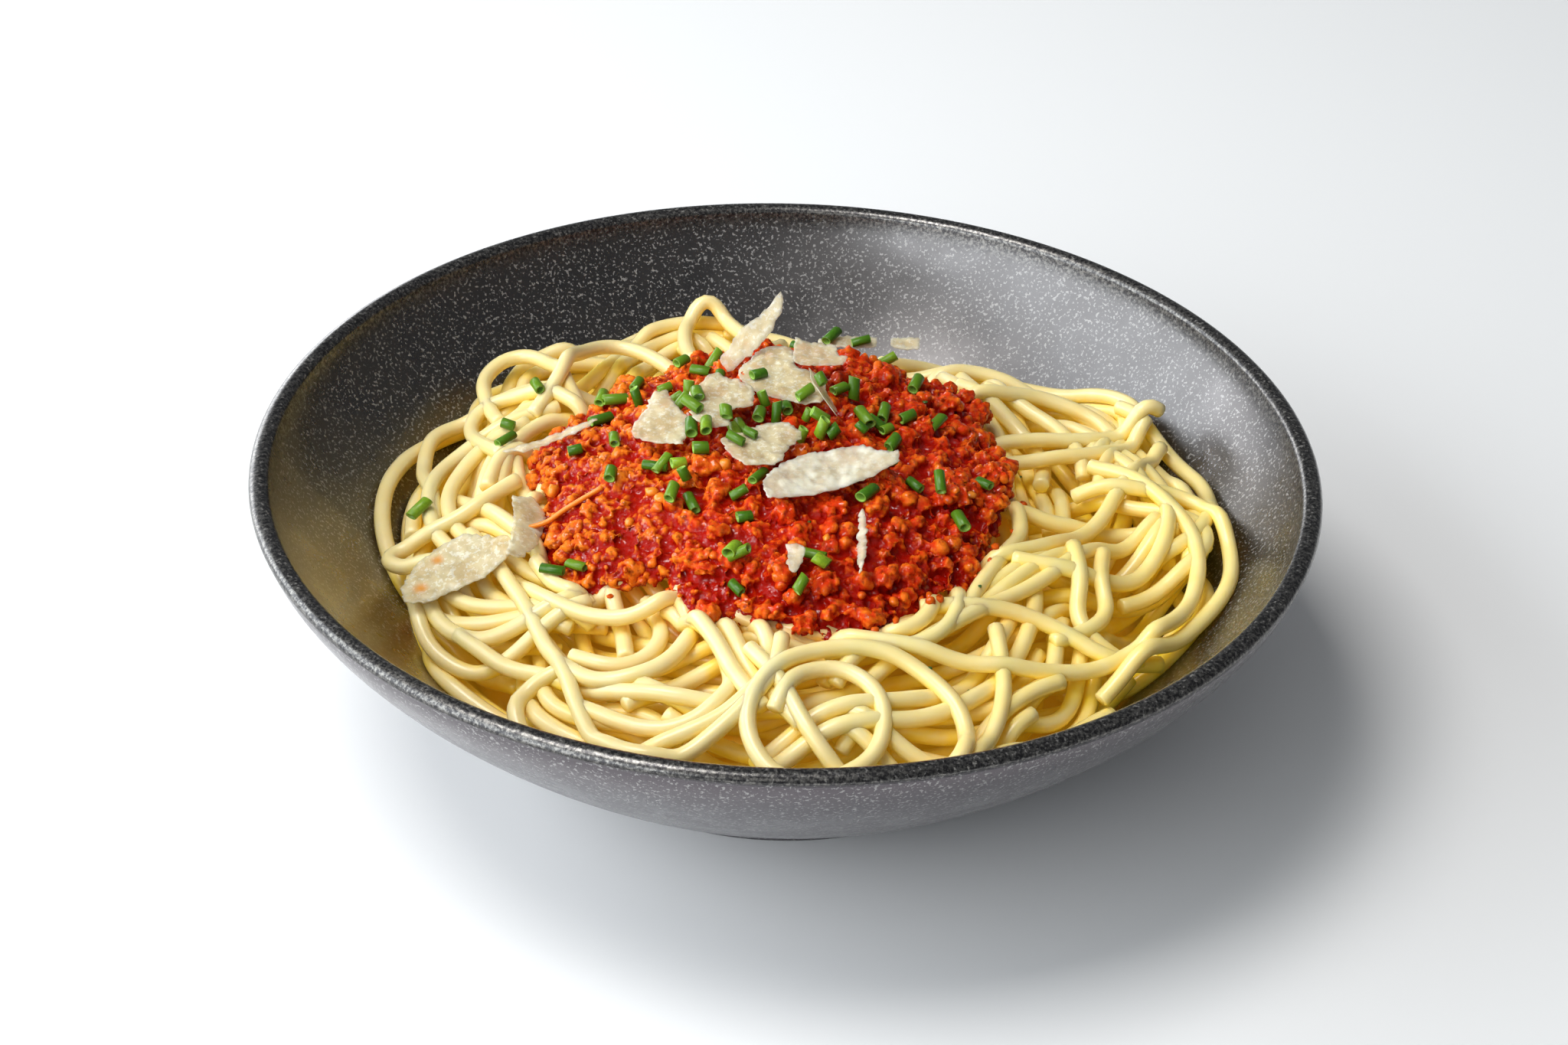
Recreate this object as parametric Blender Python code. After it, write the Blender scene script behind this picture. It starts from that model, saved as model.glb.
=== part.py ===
"""Spaghetti bolognese in a glazed stoneware bowl: bowl, pasta heap, meat sauce and cheese shavings.

Metres, +Z up. The origin is on the bowl's axis, in the plane that its foot stands on, and the
diner sits at -Y. Pieces that touch keep CONTACT_GAP between them.
"""

import math

import bmesh
import bpy
import numpy as np
from mathutils import Matrix, Vector
from mathutils.bvhtree import BVHTree

# bowl
RIM_RADIUS = 0.105
RIM_HEIGHT = 0.058
FOOT_RADIUS = 0.0525
FOOT_WIDTH = 0.005
FOOT_HEIGHT = 0.0025
WALL = 0.004
LIP_ROUND = 0.0016
FLOOR_HEIGHT = 0.0075
FLOOR_BLEND = 0.0045  # how softly the inner wall runs into the floor
BOWL_SEGMENTS = 60

# pasta heap, whose rings and sectors are counted from the middle of the sauce
CONTACT_GAP = 0.0004
SECTORS = 60
HEAP_RADIUS = 0.0800  # about the bowl's axis, where the heap thins out on the wall
HEAP_LOBES = ((-3, 17, 0.0075), (40, 12, 0.0040), (144, 9, 0.0030), (218, 18, -0.0060), (270, 22, 0.0020))
HEAP_CROWN = 0.0495
HEAP_EDGE = 0.003  # the heap's thickness at its outline
HEAP_STEEPNESS = 2.4
PILE_CENTRE = Vector((0.004, 0.030))  # where the pasta is piled higher, behind the middle
PILE_SPREAD = 0.018
PILE_HEIGHT = 0.0038
SAUCE_RINGS = 7
SLOPE_RINGS = 7
BOTTOM_RINGS = 6
RELIEF = 0.0009

# meat sauce
SAUCE_CENTRE = Vector((-0.0045, 0.0))
SAUCE_RADIUS = 0.0485
SAUCE_LOBES = (
    (-64, 8, 0.0040), (-93, 11, -0.0050), (-121, 12, -0.0130), (-150, 10, -0.0020), (-174, 14, -0.0050),
    (38, 12, 0.0055), (97, 20, 0.0015), (147, 8, -0.0030),
)
SAUCE_EDGE = 0.0035
SAUCE_CROWN = 0.0070

# An outline's lobes are its swellings and hollows: direction and half-width in degrees, and reach.

# shavings of hard cheese: where the middle lies, heading of the long side in degrees from +X,
# length, width, how far the middle stands above the ends, how far it cups across, pitch along and
# roll across in degrees, and how much narrower the far end is
SHAVING_THICKNESS = 0.0009
SHAVING_STATIONS = 7
SHAVING_RIBS = 3
SHAVINGS = {
    "shaving_back_far": dict(
        at=(0.0120, 0.0465), heading=-4, size=(0.0160, 0.0070),
        bow=0.0010, cup=0.0005, pitch=-2, roll=8, taper=0.2,
    ),
    "shaving_back_right": dict(
        at=(0.0240, 0.0465), heading=-8, size=(0.0100, 0.0060),
        bow=0.0008, cup=0.0, pitch=-6, roll=8, taper=0.1,
    ),
    "shaving_wide": dict(
        at=(0.0030, 0.0185), heading=-22, size=(0.0245, 0.0190),
        bow=0.0010, cup=0.0006, pitch=0, roll=4, taper=0.1,
    ),
    "shaving_blade": dict(
        at=(-0.0085, 0.0275), heading=38, size=(0.0215, 0.0070),
        bow=-0.002, cup=0.001, pitch=42, roll=30, taper=0.55,
    ),
    "shaving_flap": dict(
        at=(0.0065, 0.0215), heading=0, size=(0.0130, 0.0095),
        bow=0.001, cup=-0.0005, pitch=-3, roll=8, taper=0.0,
    ),
    "shaving_curl": dict(
        at=(0.0078, 0.0080), heading=-70, size=(0.0125, 0.0042),
        bow=0.0025, cup=0.001, pitch=-8, roll=38, taper=0.45,
    ),
    "shaving_corner": dict(
        at=(-0.0250, 0.0045), heading=84, size=(0.0180, 0.0150),
        bow=0.001, cup=0.0008, pitch=4, roll=-4, taper=0.6,
    ),
    "shaving_fold": dict(
        at=(-0.0145, 0.0050), heading=70, size=(0.0185, 0.0145),
        bow=0.0018, cup=0.001, pitch=3, roll=2, taper=0.2,
    ),
    "shaving_middle": dict(
        at=(-0.0050, -0.0090), heading=20, size=(0.0185, 0.0135),
        bow=0.0012, cup=0.001, pitch=0, roll=2, taper=0.15,
    ),
    "shaving_long": dict(
        at=(0.0085, -0.0190), heading=28, size=(0.0300, 0.0125),
        bow=0.0010, cup=0.001, pitch=2, roll=6, taper=0.25,
    ),
    "shaving_sliver": dict(
        at=(0.0145, -0.0345), heading=-88, size=(0.0195, 0.0022),
        bow=0.0005, cup=0.0, pitch=-3, roll=24, taper=0.3,
    ),
    "shaving_chip": dict(
        at=(0.0020, -0.0390), heading=-84, size=(0.0075, 0.0036),
        bow=0.0005, cup=0.0, pitch=-10, roll=10, taper=0.35,
    ),
    "shaving_slip": dict(
        at=(-0.0485, 0.0100), heading=26, size=(0.0230, 0.0062),
        bow=0.001, cup=0.0005, pitch=10, roll=4, taper=0.2,
    ),
    "shaving_left": dict(
        at=(-0.0615, -0.0225), heading=24, size=(0.0230, 0.0125),
        bow=0.0010, cup=0.0015, pitch=16, roll=8, taper=0.15,
    ),
    "shaving_scroll": dict(
        at=(-0.0520, -0.0165), heading=-82, size=(0.0220, 0.0085),
        bow=0.0045, cup=0.002, pitch=-5, roll=-24, taper=0.3,
    ),
}


def make_material(name, color, roughness, coat=0.0):
    material = bpy.data.materials.new(name)
    material.use_nodes = True
    shader = material.node_tree.nodes["Principled BSDF"]
    shader.inputs["Base Color"].default_value = (*color, 1.0)
    shader.inputs["Roughness"].default_value = roughness
    shader.inputs["Metallic"].default_value = 0.0
    shader.inputs["Coat Weight"].default_value = coat
    return material


def make_object(name, form, material, smooth_degrees=40.0):
    """Turns a closed bmesh into a named object with its faces pointing out."""
    bmesh.ops.recalc_face_normals(form, faces=form.faces)
    mesh = bpy.data.meshes.new(name)
    form.to_mesh(mesh)
    form.free()
    mesh.materials.append(material)
    mesh.shade_smooth()
    mesh.set_sharp_from_angle(angle=math.radians(smooth_degrees))
    piece = bpy.data.objects.new(name, mesh)
    bpy.context.scene.collection.objects.link(piece)
    return piece


def closed_from_rings(rings, first_pole=None, last_pole=None):
    """A bmesh of closed rings of points joined in order, ended by a pole point at each end.

    Every four-cornered patch is split the same way, so that surfaces on the same rings stay parallel.
    """
    form = bmesh.new()
    loops = [[form.verts.new(point) for point in ring] for ring in rings]
    for near, far in zip(loops, loops[1:]):
        count = len(near)
        for i in range(count):
            j = (i + 1) % count
            form.faces.new((near[i], near[j], far[j]))
            form.faces.new((near[i], far[j], far[i]))
    for pole, loop in ((first_pole, loops[0]), (last_pole, loops[-1])):
        tip = form.verts.new(pole)
        for i in range(len(loop)):
            form.faces.new((loop[i], loop[(i + 1) % len(loop)], tip))
    return form


def bezier(p0, p1, p2, p3, steps):
    t = np.linspace(0.0, 1.0, steps)[:, None]
    p0, p1, p2, p3 = (np.array(p) for p in (p0, p1, p2, p3))
    return (1 - t) ** 3 * p0 + 3 * (1 - t) ** 2 * t * p1 + 3 * (1 - t) * t**2 * p2 + t**3 * p3


def outer_wall(steps):
    """The outside of the bowl from rim to foot: upright at the rim, spreading at 40 degrees at the foot."""
    foot_top = (FOOT_RADIUS, FOOT_HEIGHT)
    return bezier(
        (RIM_RADIUS, RIM_HEIGHT),
        (RIM_RADIUS, RIM_HEIGHT * 0.78),
        (FOOT_RADIUS * 1.4, RIM_HEIGHT * 0.285),
        foot_top,
        steps,
    )


def inner_height(radius):
    """Height of the bowl's inside at a radius: the outer wall moved in by WALL, blended into the floor."""
    wall = outer_wall(80)
    along = np.gradient(wall, axis=0)
    normal = np.stack([along[:, 1], -along[:, 0]], axis=1)
    normal *= (np.sign(normal[:, 1]) / np.linalg.norm(normal, axis=1))[:, None]
    inside = (wall + normal * WALL)[::-1]
    slope = (inside[8, 1] - inside[0, 1]) / (inside[8, 0] - inside[0, 0])
    height = np.interp(radius, inside[:, 0], inside[:, 1])
    height = np.where(radius < inside[0, 0], inside[0, 1] + (radius - inside[0, 0]) * slope, height)
    return FLOOR_HEIGHT + np.logaddexp(0.0, (height - FLOOR_HEIGHT) / FLOOR_BLEND) * FLOOR_BLEND


def circle(radius, height, count):
    return [
        (radius * math.cos(turn), radius * math.sin(turn), height)
        for turn in np.linspace(0.0, 2 * math.pi, count, endpoint=False)
    ]


def build_bowl(material):
    lip_inner = RIM_RADIUS - WALL
    inner_radii = np.concatenate(
        [np.linspace(0.012, FOOT_RADIUS - 0.01, 3), np.linspace(FOOT_RADIUS - 0.004, lip_inner, 9)]
    )
    profile = [(r, float(inner_height(r))) for r in inner_radii[:-1]]
    # The lip is a half round between the inner wall and the outer wall.
    lip_middle = RIM_RADIUS - WALL / 2
    for turn in np.linspace(math.pi, 0.0, 5):
        reach = WALL / 2 * math.cos(turn)
        profile.append((lip_middle + reach, RIM_HEIGHT - LIP_ROUND * (1 - math.sin(turn))))
    profile += [tuple(point) for point in outer_wall(9)[1:]]
    profile += [
        (FOOT_RADIUS - 0.0006, 0.0),
        (FOOT_RADIUS - FOOT_WIDTH, 0.0),
        (FOOT_RADIUS - FOOT_WIDTH - 0.001, FOOT_HEIGHT),
    ]
    rings = [circle(radius, height, BOWL_SEGMENTS) for radius, height in profile]
    form = closed_from_rings(rings, (0, 0, float(inner_height(0.0))), (0, 0, FOOT_HEIGHT))
    return make_object("bowl", form, material)


def lobed(radius, lobes, turn):
    """Radius of an uneven outline in a direction."""
    for direction, spread, reach in lobes:
        away = math.remainder(turn - math.radians(direction), 2 * math.pi)
        radius += reach * math.exp(-((away / math.radians(spread)) ** 2))
    return radius


def heap_outline(turn):
    return lobed(HEAP_RADIUS, HEAP_LOBES, turn) + 0.0006 * math.sin(11 * turn)


def heap_height(x, y):
    """Height of the pasta: a dome, piled higher behind the middle, with shallow swirled furrows."""
    turn = math.atan2(y, x)
    radius = math.hypot(x, y)
    outline = heap_outline(turn)
    share = min(radius / outline, 1.0)
    edge = float(inner_height(outline)) + HEAP_EDGE
    dome = edge + (HEAP_CROWN - edge) * (1 - share**HEAP_STEEPNESS)
    away = (Vector((x, y)) - PILE_CENTRE).length / PILE_SPREAD
    dome += PILE_HEIGHT * math.exp(-(away**2) / 2)
    swirl = math.sin(radius / 0.0022 + 2 * turn) * 0.6 + math.sin(radius / 0.0035 - 5 * turn + 2.0) * 0.4
    return dome + RELIEF * swirl * share * (1 - share**4)


def sauce_outline(turn):
    """Radius of the sauce about its own middle: a puddle with a notch and a tongue towards the diner."""
    return lobed(SAUCE_RADIUS, SAUCE_LOBES, turn) + 0.0007 * math.cos(9 * turn)


def sauce_depth(share, turn):
    """Thickness of the sauce over the pasta, from its middle (share 0) to its edge (share 1)."""
    crown = SAUCE_CROWN * (1 - share**2) ** 0.5
    crumbs = math.sin(23 * share + 3 * turn) * math.sin(4 * turn + 7 * share)
    return SAUCE_EDGE + crown + 0.0009 * crumbs * share * (1 - share)


def sector_turns():
    return [2 * math.pi * i / SECTORS for i in range(SECTORS)]


def edge_reach(turn):
    """How far the heap's outline is from the sauce's middle in a direction, found by halving."""
    low, high = 0.0, 2 * RIM_RADIUS
    for _ in range(30):
        middle = (low + high) / 2
        x = SAUCE_CENTRE.x + middle * math.cos(turn)
        y = SAUCE_CENTRE.y + middle * math.sin(turn)
        if math.hypot(x, y) < heap_outline(math.atan2(y, x)):
            low = middle
        else:
            high = middle
    return low


def on_plan(turn, reach):
    return SAUCE_CENTRE.x + reach * math.cos(turn), SAUCE_CENTRE.y + reach * math.sin(turn)


def heap_top_ring(share):
    """One ring of the heap's top within the sauce's outline: share 1 lies on that outline."""
    ring = []
    for turn in sector_turns():
        x, y = on_plan(turn, share * sauce_outline(turn))
        ring.append((x, y, heap_height(x, y)))
    return ring


def build_heap(material):
    rings = [heap_top_ring((i + 1) / SAUCE_RINGS) for i in range(SAUCE_RINGS)]
    for i in range(SLOPE_RINGS):
        share = (i + 1) / SLOPE_RINGS
        ring = []
        for turn in sector_turns():
            inside = sauce_outline(turn)
            outside = edge_reach(turn) - 0.0012
            x, y = on_plan(turn, inside + (outside - inside) * share)
            ring.append((x, y, heap_height(x, y)))
        rings.append(ring)

    def lower_ring(share, rise):
        ring = []
        for turn in sector_turns():
            x, y = on_plan(turn, edge_reach(turn) * share)
            ring.append((x, y, float(inner_height(math.hypot(x, y))) + rise))
        return ring

    rings.append(lower_ring(1.0, HEAP_EDGE * 0.45))
    for i in range(BOTTOM_RINGS):
        rings.append(lower_ring(0.99 * (1 - i / BOTTOM_RINGS), CONTACT_GAP))
    middle = (SAUCE_CENTRE.x, SAUCE_CENTRE.y)
    top = (*middle, heap_height(*middle))
    bottom = (*middle, float(inner_height(SAUCE_CENTRE.length)) + CONTACT_GAP)
    return make_object("spaghetti_heap", closed_from_rings(rings, top, bottom), material)


def build_sauce(material):
    """Its underside is the heap's top raised by the gap, on the same rings, so that the two can't cross."""
    under = [heap_top_ring((i + 1) / SAUCE_RINGS) for i in range(SAUCE_RINGS)]
    turns = sector_turns()
    raised = [[(x, y, z + CONTACT_GAP) for x, y, z in ring] for ring in under]
    top = [
        [
            (x, y, z + CONTACT_GAP + sauce_depth((i + 1) / SAUCE_RINGS * 0.985, turn))
            for (x, y, z), turn in zip(ring, turns)
        ]
        for i, ring in enumerate(under)
    ]
    # the edge bulges a little past the underside
    bulge = []
    for (x, y, z), turn in zip(under[-1], turns):
        bulge.append((x + 0.0010 * math.cos(turn), y + 0.0010 * math.sin(turn), z + CONTACT_GAP + SAUCE_EDGE * 0.5))
    middle = (SAUCE_CENTRE.x, SAUCE_CENTRE.y)
    ground = heap_height(*middle) + CONTACT_GAP
    form = closed_from_rings(
        raised + [bulge] + top[::-1],
        (*middle, ground),
        (*middle, ground + sauce_depth(0.0, 0.0)),
    )
    return make_object("meat_sauce", form, material)


def shaving_points(size, bow, cup, taper, stations, ribs):
    """Mid-surface of a shaving, lying flat: rows of points along its length, torn a little at the sides."""
    length, width = size
    rows = []
    for i in range(stations + 1):
        along = 2 * i / stations - 1
        half = width / 2 * (1 - 0.45 * abs(along) ** 2.5) * (1 - taper * (along + 1) / 2)
        tear = 0.06 * width * math.sin(5.1 * along + 40 * width / length)
        row = []
        for j in range(ribs + 1):
            across = 2 * j / ribs - 1
            reach = 1 - 0.10 * across**2
            rise = bow * (1 - along**2) + cup * across**2
            row.append(Vector((along * length / 2 * reach, across * half + tear, rise)))
        rows.append(row)
    return rows


def shaving_form(spec, place):
    """A shaving of even thickness around its mid-surface, moved to its place."""
    rows = shaving_points(spec["size"], spec["bow"], spec["cup"], spec["taper"], SHAVING_STATIONS, SHAVING_RIBS)
    form = bmesh.new()
    half = Vector((0, 0, SHAVING_THICKNESS / 2))
    upper = [[form.verts.new(place @ (p + half)) for p in row] for row in rows]
    lower = [[form.verts.new(place @ (p - half)) for p in row] for row in rows]
    last_i, last_j = len(rows) - 1, len(rows[0]) - 1
    for i in range(last_i):
        for j in range(last_j):
            form.faces.new((upper[i][j], upper[i + 1][j], upper[i + 1][j + 1], upper[i][j + 1]))
            form.faces.new((lower[i][j], lower[i][j + 1], lower[i + 1][j + 1], lower[i + 1][j]))
    for i in range(last_i):
        for j in (0, last_j):
            form.faces.new((upper[i][j], upper[i + 1][j], lower[i + 1][j], lower[i][j]))
    for j in range(last_j):
        for i in (0, last_i):
            form.faces.new((upper[i][j], upper[i][j + 1], lower[i][j + 1], lower[i][j]))
    return form


def tree_of(pieces):
    """One search tree over the faces of several pieces."""
    points, faces = [], []
    for piece in pieces:
        start = len(points)
        points += [vertex.co.copy() for vertex in piece.data.vertices]
        faces += [[start + i for i in polygon.vertices] for polygon in piece.data.polygons]
    return BVHTree.FromPolygons(points, faces)


def rest_on(form, ground):
    """Moves a form straight down or up until it clears what is under it by the contact gap."""
    high = Vector((0, 0, 1.0))
    lift = -1.0
    for face in form.faces:
        for point in [face.calc_center_median(), *(vertex.co for vertex in face.verts)]:
            hit = ground.ray_cast(Vector((point.x, point.y, 0.0)) + high, -high)[0]
            if hit is not None:
                lift = max(lift, hit.z - point.z)
    form.verts.ensure_lookup_table()
    probe = BVHTree.FromBMesh(form)
    for (x, y, z) in ground_points(ground, form):
        hit = probe.ray_cast(Vector((x, y, -1.0)), high)[0]
        if hit is not None:
            lift = max(lift, z - hit.z)
    bmesh.ops.translate(form, verts=form.verts, vec=(0, 0, lift + 1.4 * CONTACT_GAP))


def ground_points(ground, form, spacing=0.0008):
    """Points of the ground under a form, on a fine grid."""
    corners = np.array([vertex.co for vertex in form.verts])
    low, high = corners.min(axis=0), corners.max(axis=0)
    for x in np.arange(low[0], high[0], spacing):
        for y in np.arange(low[1], high[1], spacing):
            hit = ground.ray_cast(Vector((x, y, 1.0)), Vector((0, 0, -1)))[0]
            if hit is not None:
                yield hit


def build_shavings(material, pieces):
    for name, spec in SHAVINGS.items():
        place = (
            Matrix.Translation((*spec["at"], 0.0))
            @ Matrix.Rotation(math.radians(spec["heading"]), 4, "Z")
            @ Matrix.Rotation(math.radians(-spec["pitch"]), 4, "Y")
            @ Matrix.Rotation(math.radians(spec["roll"]), 4, "X")
        )
        form = shaving_form(spec, place)
        rest_on(form, tree_of(pieces))
        pieces.append(make_object(name, form, material))


def main():
    for old in list(bpy.data.objects):
        bpy.data.objects.remove(old)
    glaze = make_material("charcoal_glaze", (0.045, 0.043, 0.045), 0.32, coat=0.3)
    pasta = make_material("cooked_pasta", (0.86, 0.68, 0.32), 0.38, coat=0.2)
    meat = make_material("meat_sauce", (0.55, 0.09, 0.015), 0.35, coat=0.3)
    cheese = make_material("hard_cheese", (0.88, 0.76, 0.50), 0.55)
    bowl = build_bowl(glaze)
    heap = build_heap(pasta)
    sauce = build_sauce(meat)
    build_shavings(cheese, [bowl, heap, sauce])


main()
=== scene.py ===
import math

import bmesh
import bpy
import numpy as np
from mathutils import Matrix, Vector, kdtree, noise
from mathutils.bvhtree import BVHTree
from mathutils.geometry import delaunay_2d_cdt


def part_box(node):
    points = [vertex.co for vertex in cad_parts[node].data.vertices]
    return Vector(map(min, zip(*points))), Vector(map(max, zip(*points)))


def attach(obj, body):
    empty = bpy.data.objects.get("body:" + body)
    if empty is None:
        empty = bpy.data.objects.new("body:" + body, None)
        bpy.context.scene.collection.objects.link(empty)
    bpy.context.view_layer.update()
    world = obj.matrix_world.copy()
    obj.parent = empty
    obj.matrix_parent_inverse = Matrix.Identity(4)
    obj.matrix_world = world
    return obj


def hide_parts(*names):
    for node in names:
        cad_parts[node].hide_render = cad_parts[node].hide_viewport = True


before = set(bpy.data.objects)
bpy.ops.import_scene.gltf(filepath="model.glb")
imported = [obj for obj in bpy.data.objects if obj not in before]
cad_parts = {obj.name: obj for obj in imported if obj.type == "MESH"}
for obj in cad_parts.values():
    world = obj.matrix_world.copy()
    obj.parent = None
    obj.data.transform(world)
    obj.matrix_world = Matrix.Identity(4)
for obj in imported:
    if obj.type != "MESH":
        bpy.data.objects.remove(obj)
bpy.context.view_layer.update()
mm = 0.001


def say(text):
    print("bolognese:", text)


view = {
    "rimHeight": 58.0, "distance": 559.5, "above": 32.02,   # mm, mm, degrees
    "roll": 1.544, "pan": 0.019, "tilt": -1.580, "lens": 65.04, "sensor": 36.0,
}
room = {
    "floorSize": 6.0, "floorColor": (0.86, 0.86, 0.86, 1),
    "world": (0.90, 0.95, 1.0, 1), "worldStrength": 0.14,
}
lamps = {
    "window": dict(at=(-1.15, -0.36, 0.62), size=(2.9, 1.0), power=38.0, color=(0.90, 0.96, 1.0)),
    "lowWindow": dict(at=(-0.95, 1.10, 0.22), size=(1.2, 0.5), power=8.0, color=(0.95, 0.97, 1.0)),
    "overhead": dict(at=(-0.42, -0.12, 1.20), size=(0.55, 0.55), power=10.0, color=(1.0, 0.99, 0.97)),
    "fill": dict(at=(-0.35, -1.00, 0.95), size=(0.9, 0.7), power=1.2, color=(1.0, 0.98, 0.95)),
}


def placeCamera():
    up = math.radians(view["above"])
    rim = Vector((0, 0, view["rimHeight"] * mm))
    back = Vector((0, -math.cos(up), math.sin(up)))
    turn = Matrix((Vector((1, 0, 0)), back.cross(Vector((1, 0, 0))), back)).transposed()
    turn = Matrix.Rotation(math.radians(view["pan"]), 3, turn.col[1]) @ turn
    turn = Matrix.Rotation(math.radians(view["tilt"]), 3, turn.col[0]) @ turn
    turn = Matrix.Rotation(math.radians(view["roll"]), 3, turn.col[2]) @ turn
    lens = bpy.data.cameras.new("camera")
    lens.lens = view["lens"]
    lens.sensor_width = view["sensor"]
    lens.clip_start = 0.01
    camera = bpy.data.objects.new("camera", lens)
    camera.matrix_world = Matrix.Translation(rim + back * view["distance"] * mm) @ turn.to_4x4()
    bpy.context.scene.collection.objects.link(camera)
    bpy.context.scene.camera = camera


def placeLamp(name, at, size, power, color):
    lamp = bpy.data.lights.new(name, "AREA")
    lamp.shape = "RECTANGLE"
    lamp.size, lamp.size_y = size
    lamp.energy = power
    lamp.color = color
    piece = bpy.data.objects.new(name, lamp)
    piece.location = at
    piece.rotation_euler = (Vector((0, 0, 0.03)) - Vector(at)).to_track_quat("-Z", "Y").to_euler()
    bpy.context.scene.collection.objects.link(piece)


def makeRoom():
    world = bpy.data.worlds.new("room")
    world.use_nodes = True
    world.node_tree.nodes["Background"].inputs["Color"].default_value = room["world"]
    world.node_tree.nodes["Background"].inputs["Strength"].default_value = room["worldStrength"]
    bpy.context.scene.world = world
    bpy.ops.mesh.primitive_plane_add(size=room["floorSize"])
    floor = bpy.context.object
    floor.name = "floor"
    paint = bpy.data.materials.new("floorPaint")
    paint.use_nodes = True
    paint.node_tree.nodes["Principled BSDF"].inputs["Base Color"].default_value = room["floorColor"]
    paint.node_tree.nodes["Principled BSDF"].inputs["Roughness"].default_value = 0.8
    floor.data.materials.append(paint)
    for name, lamp in lamps.items():
        placeLamp(name, **lamp)
    bpy.context.scene.view_settings.view_transform = "Standard"


placeCamera()
makeRoom()
say("camera, floor and lamps are in place")


def newPiece(name, points, faces, material, smooth=True):
    mesh = bpy.data.meshes.new(name)
    mesh.from_pydata([tuple(p) for p in np.asarray(points) * mm], [], [tuple(f) for f in faces])
    if smooth:
        mesh.shade_smooth()
    mesh.materials.append(material)
    piece = bpy.data.objects.new(name, mesh)
    bpy.context.scene.collection.objects.link(piece)
    return piece


def pointsOf(mesh):
    points = np.empty(len(mesh.vertices) * 3)
    mesh.vertices.foreach_get("co", points)
    return points.reshape(-1, 3) / mm


def countTriangles(mesh):
    return sum(len(p.vertices) - 2 for p in mesh.polygons)


def applyModifiers(piece):
    # swaps the mesh for what the modifiers make of it
    bpy.context.view_layer.update()
    seen = piece.evaluated_get(bpy.context.evaluated_depsgraph_get())
    made = bpy.data.meshes.new_from_object(seen)
    piece.modifiers.clear()
    piece.data = made
    return made


def paintPoints(piece, name, values):
    layer = piece.data.attributes.new(name, "FLOAT", "POINT")
    layer.data.foreach_set("value", np.asarray(values, np.float32))


def newMaterial(name, roughness, **values):
    material = bpy.data.materials.new(name)
    material.use_nodes = True
    shader = material.node_tree.nodes["Principled BSDF"]
    shader.inputs["Roughness"].default_value = roughness
    for key, value in values.items():
        shader.inputs[key.replace("_", " ")].default_value = value
    return material, shader, material.node_tree


def addNode(tree, kind, **settings):
    node = tree.nodes.new(kind)
    for key, value in settings.items():
        if hasattr(node, key):
            setattr(node, key, value)
        else:
            node.inputs[key.replace("_", " ")].default_value = value
    return node


def readPoints(tree, name):
    return addNode(tree, "ShaderNodeAttribute", attribute_name=name).outputs["Fac"]


def mixColors(tree, factor, first, second, blend="MIX"):
    node = addNode(tree, "ShaderNodeMix", data_type="RGBA", blend_type=blend)
    for socket, value in ((node.inputs[0], factor), (node.inputs[6], first), (node.inputs[7], second)):
        if isinstance(value, bpy.types.NodeSocket):
            tree.links.new(value, socket)
        else:
            socket.default_value = value
    return node.outputs[2]


def remap(tree, value, low, high, outLow=0.0, outHigh=1.0):
    node = addNode(tree, "ShaderNodeMapRange", interpolation_type="SMOOTHSTEP")
    tree.links.new(value, node.inputs["Value"])
    for key, number in (("From Min", low), ("From Max", high), ("To Min", outLow), ("To Max", outHigh)):
        node.inputs[key].default_value = number
    return node.outputs["Result"]


def scaled(tree, value, share):
    node = addNode(tree, "ShaderNodeMath", operation="MULTIPLY")
    tree.links.new(value, node.inputs[0])
    node.inputs[1].default_value = share
    return node.outputs[0]


def makeGrainGroup():
    # grain that every material here shares, each with its own size
    group = bpy.data.node_groups.new("grain", "ShaderNodeTree")
    for name, value in (("Scale", 1000.0), ("Detail", 3.0), ("Roughness", 0.5)):
        socket = group.interface.new_socket(name, in_out="INPUT", socket_type="NodeSocketFloat")
        socket.default_value = value
    group.interface.new_socket("Grain", in_out="OUTPUT", socket_type="NodeSocketFloat")
    inlet, outlet = addNode(group, "NodeGroupInput"), addNode(group, "NodeGroupOutput")
    place, texture = addNode(group, "ShaderNodeTexCoord"), addNode(group, "ShaderNodeTexNoise")
    group.links.new(place.outputs["Object"], texture.inputs["Vector"])
    for name in ("Scale", "Detail", "Roughness"):
        group.links.new(inlet.outputs[name], texture.inputs[name])
    group.links.new(texture.outputs["Fac"], outlet.inputs["Grain"])
    return group


grainGroup = makeGrainGroup()


def grainNoise(tree, sizeMm, detail=3.0, roughness=0.5):
    node = addNode(tree, "ShaderNodeGroup", node_tree=grainGroup)
    for name, value in (("Scale", 1.0 / (sizeMm * mm)), ("Detail", detail), ("Roughness", roughness)):
        node.inputs[name].default_value = value
    return node.outputs["Grain"]


def addBump(tree, shader, height, distanceMm, strength=1.0):
    node = addNode(tree, "ShaderNodeBump")
    node.inputs["Distance"].default_value = distanceMm * mm
    node.inputs["Strength"].default_value = strength
    tree.links.new(height, node.inputs["Height"])
    tree.links.new(node.outputs["Normal"], shader.inputs["Normal"])
    return node


bowlShape = {
    "rim": 105.0, "height": 58.0, "foot": 52.5, "footWidth": 5.0, "footHeight": 2.5,
    "wall": 4.0, "lipRound": 1.6, "floor": 7.5, "blend": 4.5, "turns": 240,
}
glazeLook = {
    "dark": (0.100, 0.094, 0.094, 1), "fleck": (0.27, 0.26, 0.255, 1), "paintedBounce": (0.52, 0.43, 0.31, 1),
    "outside": (0.102, 0.087, 0.098, 1), "lipDark": (0.034, 0.032, 0.034, 1),
    "metal": 0.90, "fleckMetal": 0.2,
    "lipLight": (0.21, 0.20, 0.185, 1), "paintedBounceTurn": (-134.0, 34.0), "paintedBounceReach": (58.0, 99.0),
    "fleckSize": 0.62, "mottleSize": 9.0,
}


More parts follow.
